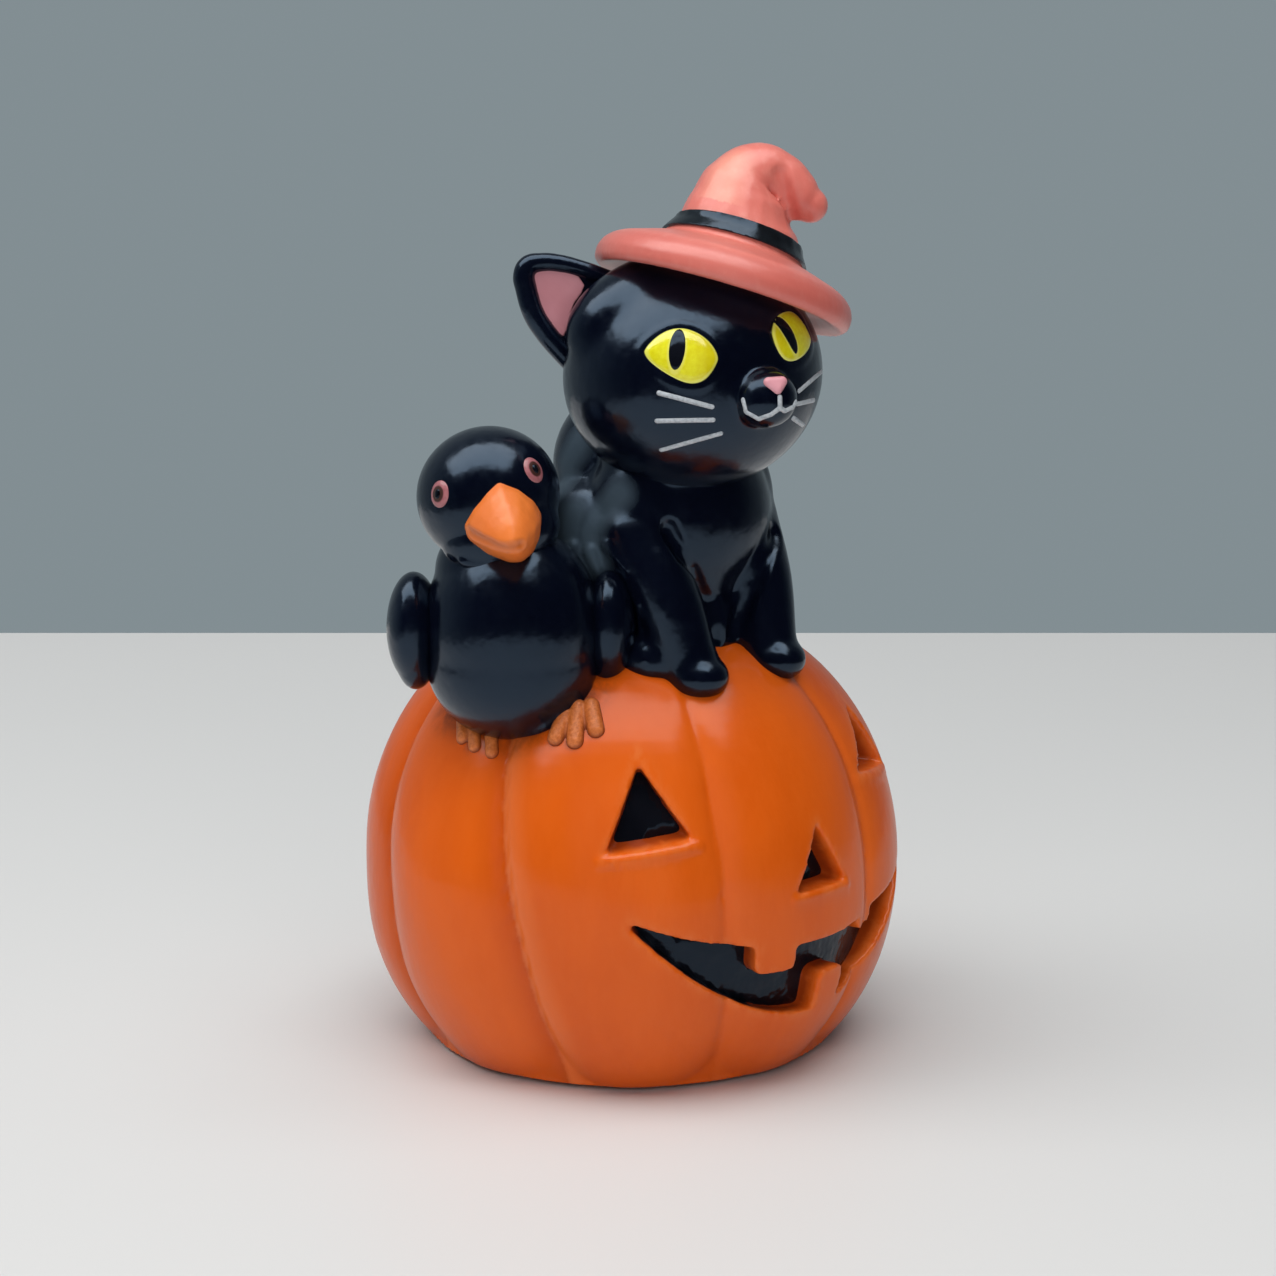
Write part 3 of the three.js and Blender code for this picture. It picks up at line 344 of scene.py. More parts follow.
def grin():
    """The grin's outline, with two teeth in the upper lip and one in the lower."""
    right, left = RIGHT_CORNER[0], LEFT_CORNER[0]
    return [
        (right, lip(right, LOWER_LIP)), *lip_points(right, LOWER_TOOTH[0], LOWER_LIP),
        *tooth_points(*LOWER_TOOTH, LOWER_LIP), *lip_points(LOWER_TOOTH[1], left, LOWER_LIP),
        (left, lip(left, LOWER_LIP)), (left, lip(left, UPPER_LIP)),
        *lip_points(left, LEFT_TOOTH[0], UPPER_LIP),
        *tooth_points(*LEFT_TOOTH, UPPER_LIP), *lip_points(LEFT_TOOTH[1], RIGHT_TOOTH[0], UPPER_LIP),
        *tooth_points(*RIGHT_TOOTH, UPPER_LIP), *lip_points(RIGHT_TOOTH[1], right, UPPER_LIP),
        (right, lip(right, UPPER_LIP)),
    ]


HOLES = {
    "pumpkin_eye_left_enamel": LEFT_EYE_HOLE,
    "pumpkin_eye_right_enamel": RIGHT_EYE_HOLE,
    "pumpkin_nose_enamel": NOSE_HOLE,
    "pumpkin_grin_enamel": grin(),
}


def on_face(along, height, radius=PUMPKIN_RADIUS):
    """The point at a distance round the face and a height, at a radius from the pumpkin's axis."""
    angle = along / PUMPKIN_RADIUS
    return Vector((radius * math.sin(angle), -radius * math.cos(angle), height))


def moved(shape, held):
    """Sets a shape in a frame."""
    bmesh.ops.transform(shape, matrix=held, verts=shape.verts)


def raised(shape, way):
    """Thickens a flat shape by drawing a copy of it out some way."""
    grown = bmesh.ops.extrude_face_region(shape, geom=shape.faces[:])
    outer = [item for item in grown["geom"] if isinstance(item, bmesh.types.BMVert)]
    bmesh.ops.translate(shape, vec=way, verts=outer)


def plug(outline):
    """A plug of an outline, from well inside the pumpkin to clear outside; a three-cornered one widens."""
    plain = len(outline) == 3
    middle = sum((Vector(point) for point in outline), Vector((0, 0))) / len(outline)
    shape = bmesh.new()
    shape.faces.new([shape.verts.new((along, 0, height)) for along, height in outline])
    bmesh.ops.subdivide_edges(shape, edges=shape.edges[:], cuts=HOLE_CUTS if plain else 1)
    raised(shape, (0, 1, 0))
    for corner in shape.verts:
        radius = PUMPKIN_RADIUS * (PLUG_START + PLUG_LENGTH * corner.co.y)
        growth = 1 + HOLE_DRAFT * (radius - PUMPKIN_RADIUS + 1) if plain else 1
        along, height = middle + (corner.co.xz - middle) * growth
        corner.co = on_face(along, height, radius)
    bmesh.ops.triangulate(shape, faces=shape.faces[:])
    bmesh.ops.recalc_face_normals(shape, faces=shape.faces)
    return shape


def core(sunk):
    """The smooth pumpkin under the carvings, sunk by some millimetres."""
    profile = pumpkin_profile(sunk, PROFILE_ROWS // 2)
    return turned([(0, profile[0][1]), *profile], PROFILE_STEPS // 2)


under = [(0, FELT_SEAT_TOP), (FELT_SEAT_RADIUS, FELT_SEAT_TOP), (FELT_SEAT_RADIUS, PUMPKIN_FOOT)]
body = turned([*under, (FOOT_RADIUS, PUMPKIN_FOOT), *pumpkin_profile(0, PROFILE_ROWS)[1:]], PROFILE_STEPS)
for corner in body.verts:
    out = Vector((corner.co.x, corner.co.y, 0))
    if out.length > FELT_SEAT_RADIUS + SEAT_WALL or corner.co.z > WIDEST_HEIGHT:
        sink = rib_sink(math.atan2(corner.co.x, -corner.co.y), corner.co.z)
        sink += HAND_WAVE * max(noise.noise(corner.co / HAND_WAVE_LENGTH), HAND_WAVE_LEAST)
        corner.co -= out * (sink / PUMPKIN_RADIUS)
body = cut(body, merged(*(plug(outline) for outline in HOLES.values())))
body = kneaded(merged(body, core(CARVING_DEPTH)), PUMPKIN_GRAIN, rounds=5, share_kept=PUMPKIN_SHARE_KEPT)

# Soft ledges stand proud under the eyes and the nose, where the carver's knife pushed the clay down
SILL_DROP = 0.5
SILL_WIDTH = 0.95
SILL_HEIGHTS = (0.12, 0.36, 0.26)
SILL_STEPS = 10
SILL_STEP = 0.125
SILL_OVERHANG = 0.06
for outline, sill_height in zip((LEFT_EYE_HOLE, RIGHT_EYE_HOLE, NOSE_HOLE), SILL_HEIGHTS):
    start, end = (Vector(point) for point in sorted(outline, key=lambda point: point[1])[:2])
    sill = []
    for step in range(SILL_STEPS):
        along, height = start.lerp(end, step * SILL_STEP - SILL_OVERHANG)
        height -= SILL_DROP
        sink = rib_sink(along / PUMPKIN_RADIUS, height)
        sill.append(on_face(along, height, pumpkin_radius(height) - sink))
    tooled(body, sill, SILL_WIDTH, sill_height)
pumpkin_tree = BVHTree.FromBMesh(body)


def seen(tree, across, down):
    """The point of a surface that the photograph shows at a pixel, and the surface's normal there."""
    middle = PICTURE_WIDTH / 2
    ray = camera_right * (across - middle) - camera_up * (down - middle)
    ray = ray * (SENSOR_WIDTH / PICTURE_WIDTH / LENS) - camera_back
    return tree.ray_cast(camera.location / MM, ray.normalized())[:2]


def traced(tree, pixels):
    """The points of a surface that the photograph shows at some pixels, without those that miss it."""
    spots = [seen(tree, *pixel) for pixel in pixels]
    return [point for point, normal in spots if point is not None]


# What the paint follows: painted shade on the left bank of each groove and a painted highlight on the right
# bank, paint rubbed thin along the carved edges, painted shade on the carved walls, black run over the grin's
# lower wall, and painted shade where the crow is glued on, by the pixels that its join and the gaps between
# its toes run through
CROW_JOIN = ((452, 708), (480, 722), (510, 731), (540, 726), (570, 708), (588, 688))
TOE_GAPS = (
    ((469, 720), (470, 746)), ((483, 724), (485, 746)), ((566, 714), (571, 742)), ((583, 708), (592, 732)),
)
SHALLOW_GROOVE = 0.95
GROOVE_SHADE_REACH = 4
GROOVE_SHADE_PAST = 0.8
GROOVE_SHADE_POWER = 1.5
BANK_HIGHLIGHT_REACH = 4
CROW_SHADE_REACH = 3.6
GAP_REACH = 1.1
EDGE_REACH = 1.2
WALL_REACH = 4
WALL_START = 0.5
WALL_SPREAD = 1.2
INK_START = 0.2
INK_END = -7.5
groove_shade_mask, bank_highlight_mask, edge_mask, wall_shade_mask, ink_mask, crow_shade_mask = masked(
    body, "groove", "bank_highlight", "edge", "wall", "ink", "crow_shade",
)
join_line = traced(pumpkin_tree, CROW_JOIN)
gap_lines = [traced(pumpkin_tree, gap) for gap in TOE_GAPS]
join_low = min(point.z for point in join_line) - CROW_SHADE_REACH
rings = []
for outline in HOLES.values():
    ring = [Vector((*point, 0)) for point in (*outline, outline[0])]
    rings.append((ring, [min(axis) for axis in zip(*outline)], [max(axis) for axis in zip(*outline)]))
for corner in body.verts:
    angle = math.atan2(corner.co.x, -corner.co.y)
    past, left, groove_depth = rib_place(angle, corner.co.z)[1:]
    strength = min(max(groove_depth - SHALLOW_GROOVE, 0), 1)
    # Painted shade on the left bank of each groove and a painted highlight on its right bank, stronger at
    # deeper grooves
    corner[groove_shade_mask] = strength * max(1 - left / GROOVE_SHADE_REACH, 1 - past / GROOVE_SHADE_PAST, 0) ** GROOVE_SHADE_POWER
    corner[bank_highlight_mask] = strength * max(1 - past / BANK_HIGHLIGHT_REACH, 0)
    # Painted shade round the crow's join and in the gaps between its toes
    if corner.co.x < 0 and corner.co.z > join_low:
        gaps = max(fading(corner.co, line, GAP_REACH) for line in gap_lines)
        corner[crow_shade_mask] = max(fading(corner.co, join_line, CROW_SHADE_REACH), gaps)
    place = Vector((angle * PUMPKIN_RADIUS, corner.co.z, 0))
    near = WALL_REACH
    for ring, low, high in rings:
        if all(low[axis] - WALL_REACH < place[axis] < high[axis] + WALL_REACH for axis in (0, 1)):
            near = min(near, from_path(place, ring))
    if near == WALL_REACH:
        continue
    depth = pumpkin_radius(min(max(corner.co.z, PUMPKIN_FOOT), PUMPKIN_TOP)) - corner.co.xy.length
    depth -= rib_sink(angle, corner.co.z)
    corner[edge_mask] = max(1 - near / EDGE_REACH, 0)
    # How deep a point lies in a carved hole, for the painted shade on the walls
    corner[wall_shade_mask] = min(max((depth - WALL_START) / WALL_SPREAD, 0), 1)
    if RIGHT_CORNER[0] - 1 < place.x < 0:
        below = (lip(place.x, LOWER_LIP) + lip(place.x, UPPER_LIP)) / 2 - corner.co.z
        corner[ink_mask] = min(max(min(depth - INK_START, below, INK_END - place.x), 0), 1)

# The marks of the brush: how many waves each has to the metre, its detail and its roughness
BRUSH_MARKS = {"Patches": (90, 3, 0.5), "Hairs": (900, 4, 0.6), "Dimples": (420, 2, 0.5)}
# Between these lie most values of a mark
MARK_LOW = 0.35
MARK_HIGH = 0.7


def node(tree, kind, inputs, output=0, **settings):
    """Adds a node to a tree, links or sets its inputs, and gives one of its outputs."""
    made = tree.nodes.new("ShaderNode" + kind)
    for setting, value in settings.items():
        setattr(made, setting, value)
    for name, value in inputs.items():
        socket = made.inputs[name]
        if isinstance(value, bpy.types.NodeSocket):
            tree.links.new(value, socket)
        else:
            socket.default_value = (*value, 1) if socket.type == "RGBA" else value
    return made.outputs[output]


def brushed_paint():
    """Paint laid on by hand: broad patches, brush hairs, and the small dimples of thick varnish."""
    group = bpy.data.node_groups.new("brushed_paint", "ShaderNodeTree")
    group.interface.new_socket("Scale", in_out="INPUT", socket_type="NodeSocketFloat")
    group.interface.new_socket("Stretch", in_out="INPUT", socket_type="NodeSocketVector")
    for name in BRUSH_MARKS:
        group.interface.new_socket(name, in_out="OUTPUT", socket_type="NodeSocketFloat")
    start = group.nodes.new("NodeGroupInput").outputs
    end = group.nodes.new("NodeGroupOutput").inputs
    place = node(group, "TexCoord", {}, "Object")
    spread = node(group, "VectorMath", {0: place, 1: start["Stretch"]}, operation="MULTIPLY")
    for name, (waves, detail, roughness) in BRUSH_MARKS.items():
        size = node(group, "Math", {0: start["Scale"], 1: waves}, operation="MULTIPLY")
        marks = {"Vector": spread, "Scale": size, "Detail": detail, "Roughness": roughness}
        group.links.new(node(group, "TexNoise", marks, "Fac"), end[name])
    return group


BRUSHED = brushed_paint()


class Paint:
    """A painted finish with the shared brush group. Where a value is a word, it is a mark of the brush."""

    def __init__(self, name, roughness=0.5, coat=0, coat_roughness=0.2, scale=1, stretch=(1, 1, 1)):
        self.finish = bpy.data.materials.new(name)
        self.finish.use_nodes = True
        self.tree = self.finish.node_tree
        self.shader = self.tree.nodes["Principled BSDF"].inputs
        self.set("Roughness", roughness)
        self.set("Coat Weight", coat)
        self.set("Coat Roughness", coat_roughness)
        brush = self.tree.nodes.new("ShaderNodeGroup")
        brush.node_tree = BRUSHED
        brush.inputs["Scale"].default_value = scale
        brush.inputs["Stretch"].default_value = stretch
        self.marks = brush.outputs

    def set(self, socket, value):
        """Sets one of the shader's own values."""
        self.shader[socket].default_value = value

    def feed(self, socket, value):
        """Links a value that changes over the surface to the shader."""
        self.tree.links.new(value, self.shader[socket])

    def node(self, kind, *inputs, output=0, sockets=range(5), **settings):
        """Adds a node with the inputs given in the order of its sockets."""
        values = [self.marks[value] if isinstance(value, str) else value for value in inputs]
        return node(self.tree, kind, dict(zip(sockets, values)), output, **settings)

    def mask(self, name):
        """A mask that the mesh carries for the paint."""
        return self.node("Attribute", output="Fac", attribute_name=name)

    def mix(self, mask, first, second):
        """A colour between two others, by a mask."""
        return self.node("Mix", mask, first, second, output=2, sockets=(0, 6, 7), data_type="RGBA")

    def ramp(self, value, low, high, start=0, end=1):
        """A value spread between two others as it goes from low to high."""
        return self.node("MapRange", value, low, high, start, end)

    def brushed(self, marks, low, high):
        """A colour between two others, by the marks of the brush."""
        return self.mix(self.ramp(marks, MARK_LOW, MARK_HIGH), low, high)

    def plus(self, first, second):
        """One value and another."""
        return self.node("Math", first, second, operation="ADD")

    def times(self, first, second):
        """One value times another."""
        return self.node("Math", first, second, operation="MULTIPLY")

    def bump(self, height, depth):
        """Raises the paint's skin by a height, to a depth in metres."""
        sockets = ("Height", "Distance", "Strength")
        self.feed("Normal", self.node("Bump", height, depth, 1, sockets=sockets))


def pumpkin_paint():
    """Orange under a satin varnish: patchy, rubbed paler on the carved edges, with painted shade in the
    grooves, on the carved walls and round the crow, and a painted highlight on the groove banks.
    """
    paint = Paint("pumpkin_orange", coat=0.5, stretch=(1, 1, 0.45))
    paint.set("Specular IOR Level", 0.05)
    orange = paint.mix(paint.ramp("Patches", 0.35, 0.65), (0.64, 0.092, 0.004), (0.72, 0.113, 0.006))
    orange = paint.mix(paint.ramp("Hairs", 0.4, 0.75, 0, 0.22), orange, (0.72, 0.13, 0.014))
    # A painted highlight on the right bank of each groove
    orange = paint.mix(paint.times(paint.mask("bank_highlight"), 0.6), orange, (0.84, 0.21, 0.055))
    # Painted shade in each groove and on its left bank
    orange = paint.mix(paint.times(paint.mask("groove"), 0.5), orange, (0.4, 0.045, 0.003))
    # Painted shade on the walls of the carved holes, darker the deeper they lie
    orange = paint.mix(paint.times(paint.mask("wall"), 0.85), orange, (0.3, 0.04, 0.006))
    rubbed = paint.times(paint.mask("edge"), paint.ramp("Hairs", 0.4, 0.6))
    rubbed = paint.times(rubbed, paint.ramp(paint.mask("wall"), 0, 1, 0.4, 0))
    orange = paint.mix(rubbed, orange, (0.76, 0.2, 0.05))
    # Painted shade round the crow's join and in the gaps between its toes
    crow_shade = paint.times(paint.mask("crow_shade"), paint.ramp("Hairs", 0.3, 0.6, 0, 0.8))
    orange = paint.mix(crow_shade, orange, (0.1, 0.022, 0.008))
    orange = paint.mix(paint.ramp(paint.mask("ink"), 0.35, 0.6), orange, (0.004, 0.005, 0.008))
    paint.feed("Base Color", orange)
    paint.feed("Roughness", paint.ramp("Patches", 0.3, 0.7, 0.36, 0.48))
    paint.bump(paint.plus("Dimples", paint.times("Hairs", 0.35)), 0.00009)
    return paint.finish


settled(body, "pumpkin", pumpkin_paint(), "pumpkin_body")

# Enamel in the carvings
# Thick black gloss enamel, run into the floor of each carved hole by brush, so that it lies in a thin
# pool against the walls. One pool in each eye, one in the nose and one in the grin.
ENAMEL_DEPTH = 0.45
ENAMEL_SINK = CARVING_DEPTH - ENAMEL_DEPTH
ENAMEL_THICKNESS = 0.8
ENAMEL_SPREAD = 0.8
# Black gloss over navy shows what it mirrors bluer than it is
GLOSS_TINT = (0.5, 0.72, 1, 1)


def enamel_paint():
    """Gloss black with the slow waves of thick paint."""
    paint = Paint("black_enamel")
    paint.set("Specular IOR Level", 0.36)
    paint.set("Specular Tint", GLOSS_TINT)
    paint.feed("Base Color", paint.brushed("Patches", (0.002, 0.0022, 0.004), (0.006, 0.007, 0.011)))
    paint.feed("Roughness", paint.ramp("Dimples", 0.3, 0.7, 0.1, 0.2))
    paint.bump("Dimples", 0.0003)
    return paint.finish


ENAMEL = enamel_paint()
shell = cut(core(ENAMEL_SINK), core(ENAMEL_SINK + ENAMEL_THICKNESS))
for solid, outline in HOLES.items():
    hole = plug(outline)
    hole.normal_update()
    for corner in hole.verts:
        corner.co += corner.normal * ENAMEL_SPREAD
    pool = cut(shell.copy(), hole, "INTERSECT")
    name = solid.replace("pumpkin_", "").replace("_enamel", "_pool")
    settled(pool, name, ENAMEL, solid)

# Felt
# A disc of black felt, cut by a round die and glued into the seat under the pumpkin, so that the figure
# doesn't scratch what it stands on.
felt_low, felt_high = (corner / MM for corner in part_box("felt_pad"))
FELT_RADIUS = felt_high.x
FELT_EDGE = 0.2
SMALL_STEPS = 128
FELT_PROFILE = (
    (0, felt_low.z), (FELT_RADIUS - FELT_EDGE, felt_low.z), (FELT_RADIUS, felt_low.z + FELT_EDGE),
    (FELT_RADIUS, felt_high.z - FELT_EDGE), (FELT_RADIUS - FELT_EDGE, felt_high.z), (0, felt_high.z),
)
felt = turned(FELT_PROFILE, SMALL_STEPS)


def felt_cloth():
    """Matted black fibres."""
    cloth = Paint("felt", roughness=0.95, scale=2.5)
    cloth.set("Sheen Weight", 0.4)
    cloth.feed("Base Color", cloth.brushed("Hairs", (0.008, 0.008, 0.009), (0.035, 0.035, 0.038)))
    cloth.bump("Hairs", 0.0004)
    return cloth.finish


settled(felt, "felt", felt_cloth(), "felt_pad")

# Cat's body
# One black casting: a sitting body with a smooth breast, straight front legs that stand proud of it, a cape
# of fur over the shoulders, haunches and four paws. Two pins hold it on the pumpkin.
CAT_GRAIN = 0.26
SIDES = (-1, 1)
# The lumps that are run together into the body: middle and radii of the torso, breast, hump, neck and belly
CAT_LUMPS = (
    ((0, -2.6, 55.6), (11, 11.2, 13.6)),
    ((1.2, -8.1, 58.5), (9.9, 6.9, 9.6)),
    ((0, 0, 63.5), (9.2, 7.4, 8.7)),
    ((0, -6.5, 65), (8.8, 7.8, 7)),
    ((0, -8.6, 47), (6.6, 5.6, 5.6)),
)
# The same on each side, for the paw, cape, haunch and hind paw
SIDE_LUMPS = (
    ((5.8, -16.1, 43.5), (3.2, 3.6, 2.5)),
    ((8.5, -2, 54.4), (4.9, 7.6, 8.6)),
    ((7.7, -2, 50.2), (5.2, 7.7, 7.3)),
    ((8.4, -10.4, 45), (3.1, 4.6, 3)),
)
# The shoulders and the tops of the front legs sit a little towards the cat's left
SHOULDERS = ((-5.8, -6.7, 59.6), (7.6, -6.7, 59.6))
SHOULDER_RADII = (4.8, 5.6, 7.2)
LEG_TOPS = ((-7.9, -8.3, 57.5), (8.5, -8.3, 57.5))
LEG_LINE = ((6.9, -12.4, 51.5), (5.9, -14.9, 44.6))
LEG_RADII = (3.9, 3.7, 3.2)


def lump(shape, middle, radii, held=Matrix()):
    """Presses one egg of clay on to a shape, at a place in a frame."""
    place = held @ Matrix.Translation(middle) @ Matrix.Diagonal((*radii, 1))
    bmesh.ops.create_icosphere(shape, subdivisions=5, radius=1, matrix=place)


def lumped(lumps, held=Matrix()):
    """Clay pressed together from eggs in a frame, each with its middle and its radii."""
    clay = bmesh.new()
    for middle, radii in lumps:
        lump(clay, middle, radii, held)
    return clay


def rolled(shape, points, radii, held=Matrix()):
    """Lays a roll of clay with round ends smoothly through points, as thick at each as its radius."""
    line = bpy.data.curves.new("roll", "CURVE")
    line.dimensions = "3D"
    line.bevel_depth = 1
    line.bevel_resolution = 8
    line.use_fill_caps = True
    spline = line.splines.new("BEZIER")
    spline.bezier_points.add(len(points) - 1)
    for knot, point, radius in zip(spline.bezier_points, points, radii):
        knot.co = held @ Vector(point)
        knot.radius = radius
        knot.handle_left_type = "AUTO"
        knot.handle_right_type = "AUTO"
    made = bpy.data.objects.new("roll", line)
    bpy.context.scene.collection.objects.link(made)
    graph = bpy.context.evaluated_depsgraph_get()
    mesh = bpy.data.meshes.new_from_object(made.evaluated_get(graph))
    shape.from_mesh(mesh)
    bpy.data.meshes.remove(mesh)
    bpy.data.objects.remove(made)
    for end in (0, -1):
        lump(shape, points[end], [radii[end]] * 3, held)


def sided(points, side):
    """Points of the cat's left side, or mirrored to its right."""
    return [Vector((side * point[0], *point[1:])) for point in points]


clay = lumped(CAT_LUMPS)
for side, shoulder, leg_top in zip(SIDES, SHOULDERS, LEG_TOPS):
    lump(clay, shoulder, SHOULDER_RADII)
    for (across, along, up), radii in SIDE_LUMPS:
        lump(clay, (side * across, along, up), radii)
    rolled(clay, [leg_top, *sided(LEG_LINE, side)], LEG_RADII)
cat = kneaded(clay, CAT_GRAIN, rounds=36)

# Tufts of fur along the cape's edge and the bone of the hind leg, laid on as thin rolls by the pixels that
# they run through, each with its radii there; then the creases on both sides of the breast
TUFTS = (
    (((572, 548), (580, 570), (588, 588)), (1.1, 0.8, 0.3)),
    (((590, 552), (596, 567), (602, 581)), (1, 0.75, 0.3)),
    (((606, 545), (616, 558), (626, 571)), (0.9, 0.65, 0.3)),
    (((638, 605), (641, 632), (644, 660)), (0.5, 0.55, 0.3)),
)
TUFT_GRAIN = 0.22
TUFT_SINK = 0.4
CREASES = (
    ((669, 529), (682, 556), (708, 604), (716, 640)), ((780, 502), (776, 532), (753, 588), (734, 630)),
)
CREASE_BREADTH = 1.4
CREASE_SINK = 0.7
# A painted grey-blue reflection over the folds of the cape, by the pixels that the strokes run through
CAPE_REFLECTION_STROKES = (
    ((582, 438), (567, 464), (560, 488)),
    ((618, 494), (603, 512), (590, 532), (594, 562)),
    ((574, 512), (570, 536)),
)
CAPE_REFLECTION_REACH = 2.5
CAPE_REFLECTION_INSIDE = 5
CAPE_REFLECTION_FOOT = 52
tree = BVHTree.FromBMesh(cat)
for pixels, radii in TUFTS:
    tuft = []
    for pixel, radius in zip(pixels, radii):
        point, normal = seen(tree, *pixel)
        tuft.append(point - normal * radius * TUFT_SINK)
    rolled(cat, tuft, radii)
    rolled(cat, sided(tuft, -1), radii)
cat = kneaded(cat, TUFT_GRAIN, rounds=4)
for pixels in CREASES:
    tooled(cat, traced(BVHTree.FromBMesh(cat), pixels), CREASE_BREADTH, -CREASE_SINK)
smoothed(cat)
cape_reflection_mask, = masked(cat, "cape")
tree = BVHTree.FromBMesh(cat)
reflection_strokes = [traced(tree, pixels) for pixels in CAPE_REFLECTION_STROKES]
reflection_strokes += [sided(stroke, -1) for stroke in reflection_strokes]
for corner in cat.verts:
    if abs(corner.co.x) > CAPE_REFLECTION_INSIDE and corner.co.z > CAPE_REFLECTION_FOOT:
        corner[cape_reflection_mask] = max(fading(corner.co, stroke, CAPE_REFLECTION_REACH) for stroke in reflection_strokes)


def black_paint(name, low, high):
    """Navy black under a gloss varnish, with soft brush marks, the dimples of a thick coat, and a painted
    grey-blue reflection where a mesh carries the cape mask.
    """
    paint = Paint(name)
    paint.set("Specular IOR Level", 0.6)
    paint.set("Specular Tint", GLOSS_TINT)
    # A painted grey-blue reflection over the cat's cape, which is also made less glossy there
    painted_reflection = paint.ramp(paint.mask("cape"), 0, 0.7)
    black = paint.brushed("Patches", low, high)
    paint.feed("Base Color", paint.mix(painted_reflection, black, (0.036, 0.054, 0.072)))
    gloss = paint.ramp("Hairs", 0.3, 0.7, 0.14, 0.26)
    matt = paint.ramp(paint.mask("cape"), 0, 0.35, 0, 0.3)
    paint.feed("Roughness", paint.plus(gloss, matt))
    paint.bump(paint.plus("Dimples", paint.times("Hairs", 0.2)), 0.00007)
    return paint.finish


CAT_BLACK = black_paint("cat_black", (0.0012, 0.002, 0.0065), (0.0022, 0.0034, 0.0095))
settled(cat, "cat_body", CAT_BLACK)

# Cat's tail
# A plain roll that lies round the cat's left side, pressed on to the pumpkin's skin. It is cast and painted
# as the body is. The photograph doesn't show it.
TAIL_ROOT = (0, 4.7, 49.9)
TAIL_PLACES = ((5.4, 10.2), (12.15, 6.45), (14.6, -1.65), (13.2, -6.4))
TAIL_RADII = (2.4, 2.4, 2.3, 2.1, 1.8)
TAIL_SINK = 0.7


def pumpkin_top(distance):
    """Height of the smooth pumpkin's skin at a distance from its axis, above its widest part."""
    power, root = UPPER_POWERS
    share = (1 - (distance / PUMPKIN_RADIUS) ** root) ** (1 / power)
    return WIDEST_HEIGHT + (PUMPKIN_TOP - WIDEST_HEIGHT) * share


tail_line = [TAIL_ROOT]
for across, along in TAIL_PLACES:
    tail_line.append((across, along, pumpkin_top(math.hypot(across, along)) + TAIL_RADII[0] * TAIL_SINK))
clay = bmesh.new()
rolled(clay, tail_line, TAIL_RADII)
settled(kneaded(clay, CAT_GRAIN, rounds=6), "cat_tail", CAT_BLACK)

# Cat's head
# A wide egg of a casting with a small round muzzle, glued over the neck pin so that it overhangs the
# breast. It runs up into the hat, and a low rim stands round each eye.
HEAD_MIDDLE = (0, -9.4, 74)
HEAD_RADII = (14, 12.6, 12.2)
BROW = ((0, 0.8, 5.4), (13.8, 7, 7.9))
MUZZLE = ((1.6, -12.8, -1), (3.3, 3.1, 3.05))
HEAD_TURN = math.radians(-17)
HEAD_ROLL = math.radians(-4)
# The cap of the head that runs up into the hat, in the frame of the hat's crown
CAP = ((0, 0, -5.2), (10.4, 10.4, 4.2))
HAT_TILT = math.radians(25)
HAT_LEAN = math.radians(-5)
HAT_FOLD = math.radians(-29)
HAT_LIFT = 0.1
HAT_SHIFT = 0.5
head_turn = Matrix.Rotation(HEAD_TURN, 4, "Z") @ Matrix.Rotation(HEAD_ROLL, 4, "Y")
head_frame = Matrix.Translation(HEAD_MIDDLE) @ head_turn
hat_turn = Matrix.Rotation(HAT_TILT, 4, "Y") @ Matrix.Rotation(HAT_LEAN, 4, "X")
hat_axis = hat_turn.col[2].to_3d()
head_reach = 1 / Vector(way / radius for way, radius in zip(hat_axis, HEAD_RADII)).length
hat_frame = head_frame @ Matrix.Translation(hat_axis * (head_reach + HAT_LIFT)) @ hat_turn
crown_frame = hat_frame @ Matrix.Rotation(HAT_FOLD, 4, "Z") @ Matrix.Translation((HAT_SHIFT, 0, 0))
clay = lumped((((0, 0, 0), HEAD_RADII), BROW), head_frame)
lump(clay, *CAP, crown_frame)
head = kneaded(clay, CAT_GRAIN, rounds=70)
lump(head, *MUZZLE, head_frame)
head = kneaded(head, CAT_GRAIN, rounds=20)
head_tree = BVHTree.FromBMesh(head)

# Each eye by the pixels of its outer and inner corners and of the middles of its lids
EYE_PIXELS = {
    "right": ((643.7, 348.8), (719, 356.6), (680.5, 327.6), (691.7, 384.5)),
    "left": ((809.5, 339), (769.8, 332.5), (788, 309.5), (796.6, 364)),
}
EYE_BULGE = 1
EYE_POINTEDNESS = 0.24
EYE_SWAY = 0.13
EYE_SKEW = -0.15
RIM_WIDTH = 0.75
RIM_HEIGHT = 0.1
RIM_OUTSIDE = 0.4
RIM_STEPS = 48
RIM_CLEARANCE = 4
eyes = {}
for word, pixels in EYE_PIXELS.items():
    outer, inner, top, bottom = traced(head_tree, pixels)
    across = (inner - outer).normalized()
    up = (top - bottom) - (top - bottom).project(across)
    half = (inner - outer).length / 2, up.length / 2
    up.normalize()
    out = across.cross(up)
    out *= math.copysign(1, out.dot(camera_back))
    middle = (outer + inner) / 2
    middle += up * ((top + bottom) / 2 - middle).dot(up)
    eyes[word] = Matrix.Translation(middle) @ Matrix((across, up, out)).transposed().to_4x4(), half


def almond(across, up):
    """A point of a round eye, in shares of its reach, drawn out into the almond of the cat's."""
    narrowed = max(1 - across ** 2, 0)
    return across + (EYE_SWAY + EYE_SKEW * up) * narrowed, up * narrowed ** EYE_POINTEDNESS


